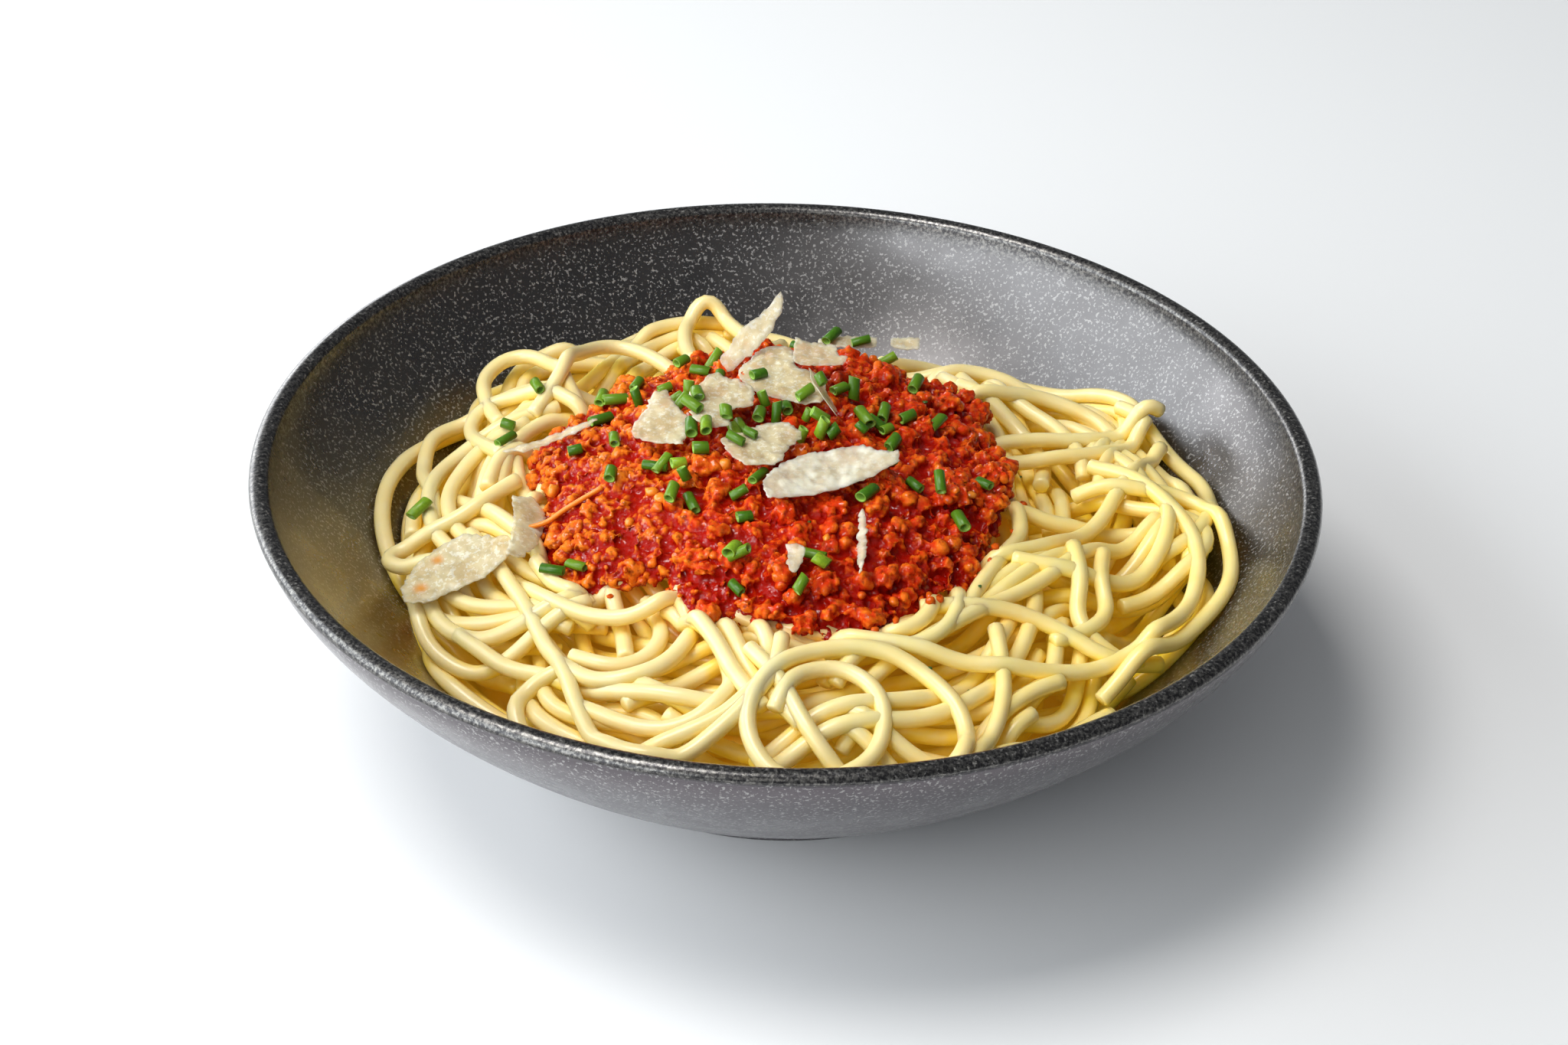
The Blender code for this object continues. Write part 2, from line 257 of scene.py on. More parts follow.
def outerWall(steps):
    t = np.linspace(0, 1, steps)[:, None]
    rim, height, foot = bowlShape["rim"], bowlShape["height"], bowlShape["foot"]
    corners = [(rim, height), (rim, height * 0.78), (foot * 1.4, height * 0.285),
               (foot, bowlShape["footHeight"])]
    a, b, c, d = (np.array(p) for p in corners)
    return (1 - t) ** 3 * a + 3 * (1 - t) ** 2 * t * b + 3 * (1 - t) * t**2 * c + t**3 * d


def innerHeight(radius):
    wall = outerWall(160)
    along = np.gradient(wall, axis=0)
    normal = np.stack([along[:, 1], -along[:, 0]], axis=1)
    normal *= (np.sign(normal[:, 1]) / np.linalg.norm(normal, axis=1))[:, None]
    inside = (wall + normal * bowlShape["wall"])[::-1]
    slope = (inside[16, 1] - inside[0, 1]) / (inside[16, 0] - inside[0, 0])
    height = np.interp(radius, inside[:, 0], inside[:, 1])
    height = np.where(radius < inside[0, 0], inside[0, 1] + (radius - inside[0, 0]) * slope, height)
    base, blend = bowlShape["floor"], bowlShape["blend"]
    return base + np.logaddexp(0, (height - base) / blend) * blend


def makeGlaze():
    look = glazeLook
    material, shader, tree = newMaterial("charcoalGlaze", 0.36, Specular_IOR_Level=0.5, Coat_Weight=0.4,
                                         Coat_Roughness=0.26)
    fleck = remap(tree, grainNoise(tree, look["fleckSize"], 2.0), 0.56, 0.66)
    mottle = remap(tree, grainNoise(tree, look["mottleSize"], 4.0, 0.6), 0.35, 0.65)
    inside = mixColors(tree, fleck, look["dark"], look["fleck"])
    outside = mixColors(tree, fleck, look["outside"], look["fleck"])
    color = mixColors(tree, readPoints(tree, "outside"), inside, outside)
    coarse = remap(tree, grainNoise(tree, 0.7, 4.0, 0.7), 0.40, 0.66)
    # painted reflected light: a warm patch on the inner wall at the front left
    color = mixColors(tree, readPoints(tree, "paintedBounce"), color, look["paintedBounce"])
    lip = mixColors(tree, coarse, look["lipDark"], look["lipLight"])
    color = mixColors(tree, readPoints(tree, "lip"), color, lip)
    tree.links.new(color, shader.inputs["Base Color"])
    tree.links.new(remap(tree, mottle, 0, 1, 0.27, 0.34), shader.inputs["Roughness"])
    metal = remap(tree, fleck, 0, 1, look["metal"], look["metal"] * look["fleckMetal"])
    tree.links.new(metal, shader.inputs["Metallic"])
    addBump(tree, shader, grainNoise(tree, 0.7, 3.0), 0.05, 0.25)
    return material


def makeBowl():
    shape = bowlShape
    reach = np.concatenate([np.linspace(3, 60, 16), np.linspace(63, shape["rim"] - shape["wall"], 26)])
    profile = [(r, h, 0, 0) for r, h in zip(reach[:-1], innerHeight(reach)[:-1])]
    for turn in np.linspace(math.pi, 0, 13):
        across = shape["wall"] / 2 * math.cos(turn)
        rise = shape["height"] - shape["lipRound"] * (1 - math.sin(turn))
        profile.append((shape["rim"] - shape["wall"] / 2 + across, rise, 0 if turn > 1.2 else 1, 1))
    profile += [(r, h, 1, 0) for r, h in outerWall(34)[1:]]
    foot, width, lift = shape["foot"], shape["footWidth"], shape["footHeight"]
    profile += [(foot - 0.15, 0.8, 1, 0), (foot - 0.6, 0, 1, 0), (foot - width, 0, 1, 0)]
    profile += [(foot - width - 0.5, 0.7, 1, 0), (foot - width - 1, lift, 1, 0), (foot * 0.5, lift, 1, 0)]
    turns = np.linspace(0, 2 * math.pi, shape["turns"], endpoint=False)
    points, outside, lip = [], [], []
    for radius, height, out, edge in profile:
        for turn in turns:
            wobble = 1 - 0.0006 * (1 + math.sin(3 * turn + 0.7)) * (radius / shape["rim"])
            points.append((radius * wobble * math.cos(turn), radius * wobble * math.sin(turn), height))
            outside.append(out)
            lip.append(edge)
    count = shape["turns"]
    faces = []
    for ring in range(len(profile) - 1):
        for i in range(count):
            j = (i + 1) % count
            low, high = ring * count, (ring + 1) * count
            faces.append((low + j, low + i, high + i, high + j))
    last = (len(profile) - 1) * count
    points += [(0, 0, float(innerHeight(0.0))), (0, 0, lift)]
    outside += [0, 1]
    lip += [0, 0]
    for i in range(count):
        j = (i + 1) % count
        faces.append((i, j, len(points) - 2))
        faces.append((last + j, last + i, len(points) - 1))
    piece = newPiece("stonewareBowl", points, faces, makeGlaze())
    paintPoints(piece, "outside", outside)
    paintPoints(piece, "lip", lip)
    # painted reflected light: the glow the pasta throws back on the wall in front of it on the left is
    # painted into the glaze as a warm patch
    near = np.array(points)
    middle, half = glazeLook["paintedBounceTurn"]
    turned = np.abs(np.degrees(np.arctan2(near[:, 1], near[:, 0])) - middle) / half
    inner, outer = glazeLook["paintedBounceReach"]
    reached = np.clip((np.hypot(near[:, 0], near[:, 1]) - inner) / 6, 0, 1)
    paintPoints(piece, "paintedBounce", np.exp(-turned**2) * reached * (1 - np.array(outside)) * 0.6)
    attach(piece, "root")
    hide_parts("bowl")


makeBowl()
say("bowl is turned")


grid = {"half": 108.0, "step": 0.5}
axis = np.arange(-grid["half"], grid["half"] + grid["step"] / 2, grid["step"])
gridX, gridY = np.meshgrid(axis, axis, indexing="ij")
nowhere = -100.0


def mapHeights(node):
    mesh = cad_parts[node].data
    points = [v.co.copy() for v in mesh.vertices]
    tree = BVHTree.FromPolygons(points, [tuple(p.vertices) for p in mesh.polygons])
    low, high = (np.array(c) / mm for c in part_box(node))
    heights = np.full(gridX.shape, nowhere)
    columns = np.where((axis >= low[0]) & (axis <= high[0]))[0]
    rows = np.where((axis >= low[1]) & (axis <= high[1]))[0]
    down = Vector((0, 0, -1))
    for i in columns:
        for j in rows:
            hit = tree.ray_cast(Vector((axis[i] * mm, axis[j] * mm, 0.2)), down)[0]
            if hit:
                heights[i, j] = hit.z / mm
    return heights


def cellOf(values):
    cells = np.rint((np.asarray(values) + grid["half"]) / grid["step"]).astype(int)
    return np.clip(cells, 8, len(axis) - 9)


def readMap(heights, x, y):
    return heights[cellOf(x), cellOf(y)]


def blurMap(values, rounds):
    for _ in range(rounds):
        values = (values + np.roll(values, 1, 0) + np.roll(values, -1, 0)) / 3
        values = (values + np.roll(values, 1, 1) + np.roll(values, -1, 1)) / 3
    return values


bowlMap = innerHeight(np.hypot(gridX, gridY))
heapMap = mapHeights("spaghetti_heap")
sauceMap = mapHeights("meat_sauce")
say("heights of the solids are mapped")


pasta = {
    "radius": 1.64, "spread": 0.05,      # a strand's radius and how far strands differ from it
    "coreSink": 11.5, "coreSide": 13.0,   # how far the hidden core stays below and inside the heap
    "sauceSink": 6.0, "sauceSide": 9.0,   # and the same of its part below the sauce
    "underSauce": 4.9, "underDepth": 6.0,     # how deep strands run below the sauce, and fill the heap
    "sides": 10, "spacing": 1.3, "seed": 4,
    "underCount": 340, "underLength": (80, 180), "cover": 0.45,
    "press": 0.5, "slack": 2.0,     # strands above the heap by more than the slack are pressed in
}
noLid = 200.0
# Strands given one by one, lowest first. Points are x, y in mm; the diner sits at -y.
laidStrands = {
    "backLoop": [(-21, 55), (-23, 65), (-23, 73), (-20, 78), (-16, 78), (-13, 73), (-10, 66), (-6, 56)],
    "backOuter": [(20, 62), (30, 68), (40, 68), (51, 64), (62, 56), (70, 47), (75, 38), (77, 30)],
    "backInner": [(28, 54), (38, 58), (48, 56), (58, 50), (66, 42), (71, 34)],
    "rightFanA": [(36, 42), (44, 36), (50, 30), (53, 22), (52, 12)],
    "rightFanB": [(42, 44), (50, 38), (56, 33), (60, 26), (61, 16)],
    "rightFanC": [(34, 36), (43, 38), (52, 41), (60, 40), (66, 37), (70, 29)],
    "rightLoopOuter": [(70, 40), (77, 33), (82, 26), (86, 16), (86, 5), (83, -5), (78, -11), (70, -14)],
    "rightBarLow": [(30, 14), (42, 17), (52, 18), (62, 21), (70, 26), (75, 33)],
    "rightBarHigh": [(30, 20), (42, 24), (52, 26), (62, 28), (71, 32), (78, 35)],
    "rightMiddle": [(32, -2), (44, -4), (52, -6), (61, -5), (70, -4), (78, -7)],
    "rightDrop": [(44, 0), (46, -8), (46, -14), (42, -23), (37, -33), (34, -42)],
    "rightSlant": [(74, -4), (68, -10), (62, -15), (56, -21), (49, -29), (41, -36), (33, -43), (25, -49)],
    "rightHook": [(78, -2), (74, -8), (69, -14), (64, -18)],
    "rightTurn": [(76, 6), (76, -5), (74, -13), (69, -20), (61, -24), (52, -25), (44, -24)],
    "pocketA": [(56, -18), (57, -27), (56, -34), (59, -39), (65, -42), (72, -39)],
    "pocketB": [(62, -18), (61, -25), (62, -32), (58, -38), (51, -42)],
    "frontRise": [(26, -40), (35, -39), (45, -38), (53, -40), (60, -43), (68, -43)],
    "edgeRight": [(24, -78), (35, -72), (45, -66), (54, -59), (62, -52)],
    "frontDrop": [(40, -42), (41, -51), (41, -58), (39, -66), (34, -76)],
    "sauceHookA": [(26, -28), (29, -34), (28, -41), (25, -46), (18, -48), (10, -46), (0, -42)],
    "sauceHookB": [(30, -26), (33, -33), (33, -39), (31, -45), (25, -50), (16, -52), (8, -53)],
    "crossRight": [(78, 28), (73, 18), (69, 9), (62, -6), (53, -16), (45, -22), (37, -25), (26, -25)],
    "outerRight": [(58, 4), (70, 4), (80, 3), (86, -3), (88, -12), (86, -22), (79, -32),
                   (70, -42), (60, -51)],
    "leftDeep": [(-48, -36), (-42, -43), (-35, -48), (-27, -50), (-18, -49), (-8, -47)],
    "leftRimA": [(-71, -20), (-69, -28), (-64, -32), (-57, -34), (-49, -35), (-40, -38)],
    "leftRimB": [(-70, -16), (-66, -25), (-60, -30), (-52, -32), (-44, -34), (-36, -38)],
    "leftBowA": [(-72, -24), (-69, -34), (-64, -39), (-57, -42), (-50, -41), (-44, -38), (-37, -34)],
    "leftBowB": [(-70, -22), (-67, -31), (-62, -36), (-56, -38), (-49, -37), (-43, -34), (-36, -31)],
    "leftLong": [(-62, -36), (-54, -43), (-46, -49), (-38, -55), (-30, -60), (-20, -63),
                 (-10, -64), (4, -65)],
    "leftEar": [(-36, -50), (-42, -52), (-47, -54), (-49, -60), (-44, -67), (-36, -71), (-24, -75)],
    "middleStub": [(-34, -26), (-32, -34), (-30, -41), (-29, -48)],
    "bigLoopIn": [(-26, -32), (-23, -40), (-23, -46), (-27, -51), (-33, -52), (-39, -49)],
    "bigLoopOut": [(-18, -30), (-17, -38), (-17, -46), (-21, -54), (-28, -58), (-35, -57), (-41, -51)],
    "lowLoop": [(-22, -38), (-14, -47), (-10, -54), (-9, -61), (-13, -67), (-20, -70),
                (-28, -68), (-37, -62)],
    "slantA": [(-16, -34), (-12, -43), (-9, -50), (-6, -57), (-2, -63), (4, -70)],
    "slantB": [(-20, -36), (-16, -45), (-12, -52), (-8, -60), (-3, -67)],
    "noodleFall": [(-12, -30), (-8, -40), (-4, -47), (-2, -54), (-3, -61), (-8, -67),
                   (-15, -71), (-26, -74)],
    "loopFill": [(-6, -54), (0, -62), (4, -70), (9, -76), (16, -79)],
    "innerLoop": [(-1, -68), (3, -60), (10, -57), (16, -60), (19, -67), (17, -75), (10, -80)],
    "leftRun": [(-58, -12), (-53, -20), (-49, -28), (-44, -34), (-37, -39), (-29, -41),
                (-22, -38), (-15, -31)],
    "sauceEdgeA": [(-60, -10), (-53, -18), (-47, -24), (-40, -27), (-33, -25), (-26, -26), (-17, -27)],
    "sauceEdgeB": [(-48, -22), (-44, -29), (-40, -32), (-34, -31), (-29, -28), (-22, -27), (-12, -27)],
    "leftParallelA": [(-70, 0), (-64, -4), (-58, -8), (-53, -13), (-48, -20)],
    "leftParallelB": [(-68, 7), (-64, 2), (-60, -3), (-55, -10), (-50, -17), (-45, -24)],
    "leftOuter": [(-40, 40), (-52, 41), (-64, 39), (-71, 36), (-75, 30), (-75, 18), (-72, 8), (-70, -4)],
    "leftRingIn": [(-54, 26), (-63, 18), (-67, 10), (-68, 2), (-66, -6), (-61, -14)],
    "leftRingOut": [(-48, 31), (-60, 26), (-69, 18), (-72, 8), (-71, -3), (-67, -12), (-60, -20)],
    "leftTip": [(-54, 4), (-62, -4), (-69, -8), (-76, -10), (-79, -13), (-76, -16),
                (-69, -17), (-60, -20)],
    "leftStub": [(-36, 18), (-45, 18), (-52, 16), (-57, 13), (-59, 8), (-60, 2)],
    "wallLoop": [(-60, 28), (-64, 38), (-65, 47), (-61, 53), (-55, 53), (-50, 46), (-46, 36), (-41, 26)],
    "wallArch": [(-53, 28), (-48, 37), (-46, 47), (-42, 56), (-36, 58), (-29, 53), (-22, 45)],
    "leftCrown": [(-36, 24), (-44, 30), (-52, 35), (-60, 37), (-66, 33), (-65, 24), (-58, 12)],
    "longDiagonal": [(-62, -12), (-56, -21), (-52, -28), (-48, -36), (-44, -45), (-40, -54), (-37, -63),
                     (-33, -71), (-26, -76), (-18, -76), (-11, -72), (-5, -66), (-1, -59), (0, -51)],
    "longSweep": [(-20, -35), (-10, -41), (-4, -44), (6, -48), (15, -50), (25, -51), (35, -52), (44, -51),
                  (53, -49), (62, -45), (71, -38), (78, -28), (81, -17), (80, -8), (76, -1),
                  (70, 8), (62, 14)],
    "frontLoop": [(10, -83), (-1, -80), (-6, -71), (-3, -62), (3, -56), (11, -53), (19, -53), (26, -56),
                  (32, -62), (34, -69), (32, -77), (24, -82)],
}


raised = {"wallLoop": 4.5, "wallArch": 5.0, "backLoop": 3.0}     # how far a loop's middle stands up


def smoothRoute(points, spacing=1.0, softening=4):
    # Catmull-Rom through the points, then evened out to one point a millimetre
    points = np.asarray(points, float)
    padded = np.vstack([2 * points[0] - points[1], points, 2 * points[-1] - points[-2]])
    fine = []
    for a, b, c, d in zip(padded, padded[1:], padded[2:], padded[3:]):
        t = np.linspace(0, 1, 24, endpoint=False)[:, None]
        fine.append(0.5 * (2 * b + (c - a) * t + (2 * a - 5 * b + 4 * c - d) * t**2
                           + (3 * b - a - 3 * c + d) * t**3))
    fine.append(points[-1:])
    return evenOut(np.vstack(fine), spacing, softening)


def evenOut(route, spacing=1.0, softening=4):
    for _ in range(2):
        gaps = np.linalg.norm(np.diff(route, axis=0), axis=1)
        along = np.concatenate([[0], np.cumsum(gaps)])
        marks = np.linspace(0, along[-1], max(4, int(round(along[-1] / spacing)) + 1))
        route = np.stack([np.interp(marks, along, route[:, k]) for k in range(route.shape[1])], axis=1)
        for _ in range(softening):
            route[1:-1] = (route[:-2] + 2 * route[1:-1] + route[2:]) / 4
    return route


def disc(radius):
    reach = int(math.ceil(radius / grid["step"]))
    steps = np.arange(-reach, reach + 1)
    i, j = np.meshgrid(steps, steps, indexing="ij")
    away = np.hypot(i, j) * grid["step"]
    keep = away < radius
    return i[keep], j[keep], np.sqrt(radius**2 - away[keep] ** 2)


def settle(plan, radius, ground, lid, soft, stiffness=70, sink=0.12):
    # lets a strand down on the ground: it bridges short gaps, as a soft rod does
    i, j, cap = disc(radius)
    column, row = cellOf(plan[:, 0]), cellOf(plan[:, 1])
    support = (ground[column[:, None] + i, row[:, None] + j] + cap).max(axis=1) - sink
    height = support.copy()
    for _ in range(stiffness):
        height[1:-1] = np.maximum(support[1:-1], (height[:-2] + 2 * height[1:-1] + height[2:]) / 4)
        height[0] = max(support[0], 2 * height[1] - height[2])
        height[-1] = max(support[-1], 2 * height[-2] - height[-3])
    over = height - readMap(soft, plan[:, 0], plan[:, 1])
    height -= np.clip(over, 0, None) * pasta["press"]
    cover = readMap(lid, plan[:, 0], plan[:, 1])
    for _ in range(5):
        height = np.minimum(height, cover)
        height[1:-1] = (height[:-2] + 2 * height[1:-1] + height[2:]) / 4
    return np.column_stack([plan, height])


def stamp(route, radius, ground):
    i, j, cap = disc(radius)
    column, row = cellOf(route[:, 0]), cellOf(route[:, 1])
    spots = (column[:, None] + i, row[:, None] + j)
    np.maximum.at(ground, spots, route[:, 2:3] + cap)


def marginInside(heights):
    # how far inside a map's outline each cell lies, in mm, by growing the outside inwards
    margin = np.where(heights > nowhere / 2, 1e3, 0.0)
    for _ in range(60):
        for shift, side in ((1, 0), (-1, 0), (1, 1), (-1, 1)):
            margin = np.minimum(margin, np.roll(margin, shift, side) + grid["step"])
    return margin


def wander(start, heading, length, rng, margin, sauceIn):
    # a random route through the heap that keeps to its ring round the sauce
    place = np.array(start, float)
    route = [place.copy()]
    bend, bendGoal = 0.0, rng.normal(0, 0.030)
    for step in range(int(length)):
        if step % 14 == 0:
            bendGoal = rng.normal(0, 0.032)
        bend += (bendGoal - bend) * 0.12
        turn = bend
        ahead = place + 5.0 * np.array([math.cos(heading), math.sin(heading)])
        radial = math.atan2(place[1], place[0])
        side = 1.0 if math.sin(heading - radial) > 0 else -1.0
        room = readMap(margin, ahead[0], ahead[1])
        if room < 5.0:
            turn += side * 0.085 * (1 - room / 5.0) + side * 0.02
        covered = readMap(sauceIn, ahead[0], ahead[1])
        if covered > 7.0:
            turn -= side * 0.06
        turn += side * 0.008
        heading += turn
        place = place + np.array([math.cos(heading), math.sin(heading)])
        if np.hypot(*place) > 92:
            break
        route.append(place.copy())
    return np.array(route)


def layStrands():
    rng = np.random.default_rng(pasta["seed"])
    margin, sauceIn = marginInside(heapMap), marginInside(sauceMap)
    core = np.where(margin > pasta["coreSide"], heapMap - pasta["coreSink"], nowhere)
    core = np.where(sauceIn > pasta["sauceSide"], heapMap - pasta["sauceSink"], core)
    lid = np.where(sauceIn > 0, sauceMap - pasta["underSauce"] - 0.25 * np.minimum(sauceIn, 3.0), noLid)
    soft = np.where(margin > 1.5, heapMap + pasta["slack"], noLid)
    ground = np.maximum(bowlMap, blurMap(np.maximum(core, bowlMap - 2), 10))
    ground = np.maximum(ground, bowlMap)
    coreTop = ground.copy()
    target = np.where(margin > 0, heapMap, nowhere) - pasta["underDepth"]
    strands = []
    for number in range(pasta["underCount"]):
        lack = np.where((margin > 3.0) & (sauceIn < 5.0), target - ground, -50)
        picks = np.argwhere(lack > np.percentile(lack[lack > -40], 93))
        pick = picks[rng.integers(len(picks))]
        if np.clip(lack[lack > -40], 0, None).mean() < pasta["cover"]:
            break
        start = np.array([axis[pick[0]], axis[pick[1]]])
        radial = math.atan2(start[1], start[0])
        heading = radial + math.pi / 2 * rng.choice([-1, 1]) + rng.normal(0, 0.45)
        length = rng.uniform(*pasta["underLength"]) / 2
        ahead = wander(start, heading, length, rng, margin, sauceIn)
        behind = wander(start, heading + math.pi, length, rng, margin, sauceIn)
        plan = evenOut(np.vstack([behind[::-1], ahead[1:]]), 1.0, 8)
        if np.clip(readMap(lack, plan[:, 0], plan[:, 1]), -3, 6).mean() < 0.4:
            continue
        beside = rng.integers(1, 4)
        for lane in range(beside):
            size = pasta["radius"] * (1 + rng.normal(0, pasta["spread"] / 2))
            along = np.gradient(plan, axis=0)
            side = np.column_stack([-along[:, 1], along[:, 0]])
            side /= np.linalg.norm(side, axis=1)[:, None]
            sway = 0.15 * np.sin(np.arange(len(plan)) / 23 + lane * 2 + number)
            drift = lane * 2.15 * size * (1 + sway)
            cut = rng.integers(0, 14)
            lanePlan = evenOut((plan + side * drift[:, None])[cut:len(plan) - cut], 1.0, 2)
            if np.hypot(lanePlan[:, 0], lanePlan[:, 1]).max() > 89:
                continue
            route = settle(lanePlan, size, ground, lid, soft)
            stamp(route, size, ground)
            strands.append(dict(route=route, radius=size, tone=rng.random(), laid=False))
    say(f"{len(strands)} strands fill the heap")
    for name, points in laidStrands.items():
        size = pasta["radius"] * (1 + rng.normal(0, pasta["spread"] / 2))
        plan = smoothRoute(points)
        route = settle(plan, size, ground, lid, soft)
        route[:, 2] += raised.get(name, 0) * np.sin(np.linspace(0, math.pi, len(route))) ** 1.3
        stamp(route, size, ground)
        strands.append(dict(route=route, radius=size, tone=rng.random(), laid=True))
    return strands, ground, coreTop


def tubes(strands, sides, spacing):
    # rings of points round every route, closed by slightly domed cut ends
    points, faces, owner, facing = [], [], [], []
    for number, strand in enumerate(strands):
        route = evenOut(strand["route"], spacing, 0)
        radius = strand["radius"]
        along = np.gradient(route, axis=0)
        along /= np.linalg.norm(along, axis=1)[:, None]
        side = np.cross(along, (0, 0, 1))
        side /= np.linalg.norm(side, axis=1)[:, None]
        up = np.cross(side, along)
        rings = [(route[0] - along[0] * 0.28, side[0], up[0], radius * 0.72)]
        rings += [(p, s, u, radius) for p, s, u in zip(route, side, up)]
        rings += [(route[-1] + along[-1] * 0.28, side[-1], up[-1], radius * 0.72)]
        first = len(points)
        for place, s, u, size in rings:
            for k in range(sides):
                angle = 2 * math.pi * k / sides
                out = s * math.cos(angle) + u * math.sin(angle)
                points.append(place + out * size)
                facing.append(out[2])
                owner.append(number)
        for ring in range(len(rings) - 1):
            for k in range(sides):
                a, b = first + ring * sides + k, first + ring * sides + (k + 1) % sides
                faces.append((a, b, b + sides, a + sides))
        faces.append(tuple(first + k for k in reversed(range(sides))))
        last = first + (len(rings) - 1) * sides
        faces.append(tuple(last + k for k in range(sides)))
    return np.array(points), faces, np.array(owner), np.array(facing)


pastaLook = {
    "pale": (0.90, 0.735, 0.35, 1), "paintedShade": (0.93, 0.66, 0.030, 1), "oil": (0.92, 0.38, 0.04, 1),
    "golden": (0.93, 0.70, 0.25, 1), "milky": (0.95, 0.88, 0.66, 1), "paintedGlow": 0.045,
}


def makePastaMaterial():
    look = pastaLook
    material, shader, tree = newMaterial(
        "cookedPasta", 0.36, Subsurface_Weight=0.45, Subsurface_Scale=0.0022, Coat_Weight=0.35,
        Coat_Roughness=0.16, Subsurface_Radius=(1.0, 0.85, 0.45),
    )
    # painted shade: strands deep in the heap, their undersides and those at the right front are painted a
    # darker, more saturated yellow
    color = mixColors(tree, readPoints(tree, "paintedShade"), look["pale"], look["paintedShade"])
    color = mixColors(tree, readPoints(tree, "oil"), color, look["oil"])
    tint = remap(tree, readPoints(tree, "tone"), 0, 1, 0.0, 0.16)
    color = mixColors(tree, tint, color, look["golden"])
    patch = remap(tree, grainNoise(tree, 4.0, 3.0), 0.4, 0.7, 0.0, 0.12)
    color = mixColors(tree, patch, color, look["milky"])
    tree.links.new(color, shader.inputs["Base Color"])
    shader.inputs["Emission Color"].default_value = look["paintedShade"]    # painted glow: emission in the shaded yellow stands in for light that soaks through from above
    paintedGlowStrength = remap(tree, readPoints(tree, "paintedShade"), 0.1, 0.8, 0.0, look["paintedGlow"])
    tree.links.new(paintedGlowStrength, shader.inputs["Emission Strength"])
    addBump(tree, shader, grainNoise(tree, 0.8, 2.0), 0.03, 0.25)
    return material


def makeCore(coreTop, material):
    # one polar skin over the core's height map, closed underneath
    rings, turns = 40, 120
    points, faces = [], []
    for level in (0, 1):
        for r in range(rings + 1):
            for k in range(turns):
                turn = 2 * math.pi * k / turns
                reach = 76.0 * r / rings
                x, y = reach * math.cos(turn), reach * math.sin(turn)
                under = float(innerHeight(math.hypot(x, y)))
                top = max(readMap(coreTop, x, y) - 0.15, under + 0.2)
                points.append((x, y, top if level == 0 else under + 0.1))
    size = (rings + 1) * turns
    for r in range(rings):
        for k in range(turns):
            a, b = r * turns + k, r * turns + (k + 1) % turns
            faces.append((a, a + turns, b + turns, b))
            faces.append((size + b, size + b + turns, size + a + turns, size + a))
    edge = rings * turns
    for k in range(turns):
        j = (k + 1) % turns
        faces.append((edge + k, size + edge + k, size + edge + j, edge + j))
    return newPiece("pastaCore", points, faces, material)


def makePasta():
    strands, top, coreTop = layStrands()
    sauceNear = blurMap((sauceMap > nowhere / 2).astype(float), 24)
    softTop = blurMap(np.where(top > nowhere / 2, top, 0), 6)
    material = makePastaMaterial()
    groups = {"spaghettiUnder": [s for s in strands if not s["laid"]],
              "spaghettiOver": [s for s in strands if s["laid"]]}
    for name, group in groups.items():
        points, faces, owner, facing = tubes(group, pasta["sides"], pasta["spacing"])
        piece = newPiece(name, points, faces, material)
        # painted shade: the further a point lies below the heap's top, the more it faces down and the
        # further right and front it sits, the more of the shaded yellow it is painted
        below = readMap(softTop, points[:, 0], points[:, 1]) - points[:, 2]
        paintedShade = 0.75 * np.clip((below + 0.4) / 4.2, 0, 1) + 0.55 * np.clip((0.55 - facing) / 1.3, 0, 1)
        paintedShade += 0.30 * np.clip(points[:, 0] / 60, 0, 1) * np.clip(1 - points[:, 1] / 50, 0, 1)
        near = readMap(sauceNear, points[:, 0], points[:, 1])
        waves = np.array([noise.noise(Vector(p) * 0.09) for p in points])
        # oil from the sauce stains strands near it, more strongly where the painted shade is deeper
        oil = np.clip(near * 1.3 + waves * 0.40 - 0.05, 0, 1) * np.clip(0.30 + paintedShade, 0, 1)
        paintPoints(piece, "paintedShade", np.clip(paintedShade, 0, 1))
        paintPoints(piece, "oil", oil)
        paintPoints(piece, "tone", np.array([s["tone"] for s in group])[owner])
        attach(piece, "root")
        if name == "spaghettiOver":
            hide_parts("spaghetti_heap")
        say(f"{name} has {len(group)} strands")
    core = makeCore(coreTop, material)
    # painted shade: the hidden core is painted all in the shaded yellow
    paintPoints(core, "paintedShade", np.ones(len(core.data.vertices)))
    paintPoints(core, "oil", np.full(len(core.data.vertices), 0.35))
    paintPoints(core, "tone", np.full(len(core.data.vertices), 0.5))
    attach(core, "root")
    return top


pastaTop = makePasta()
say("spaghetti is laid")


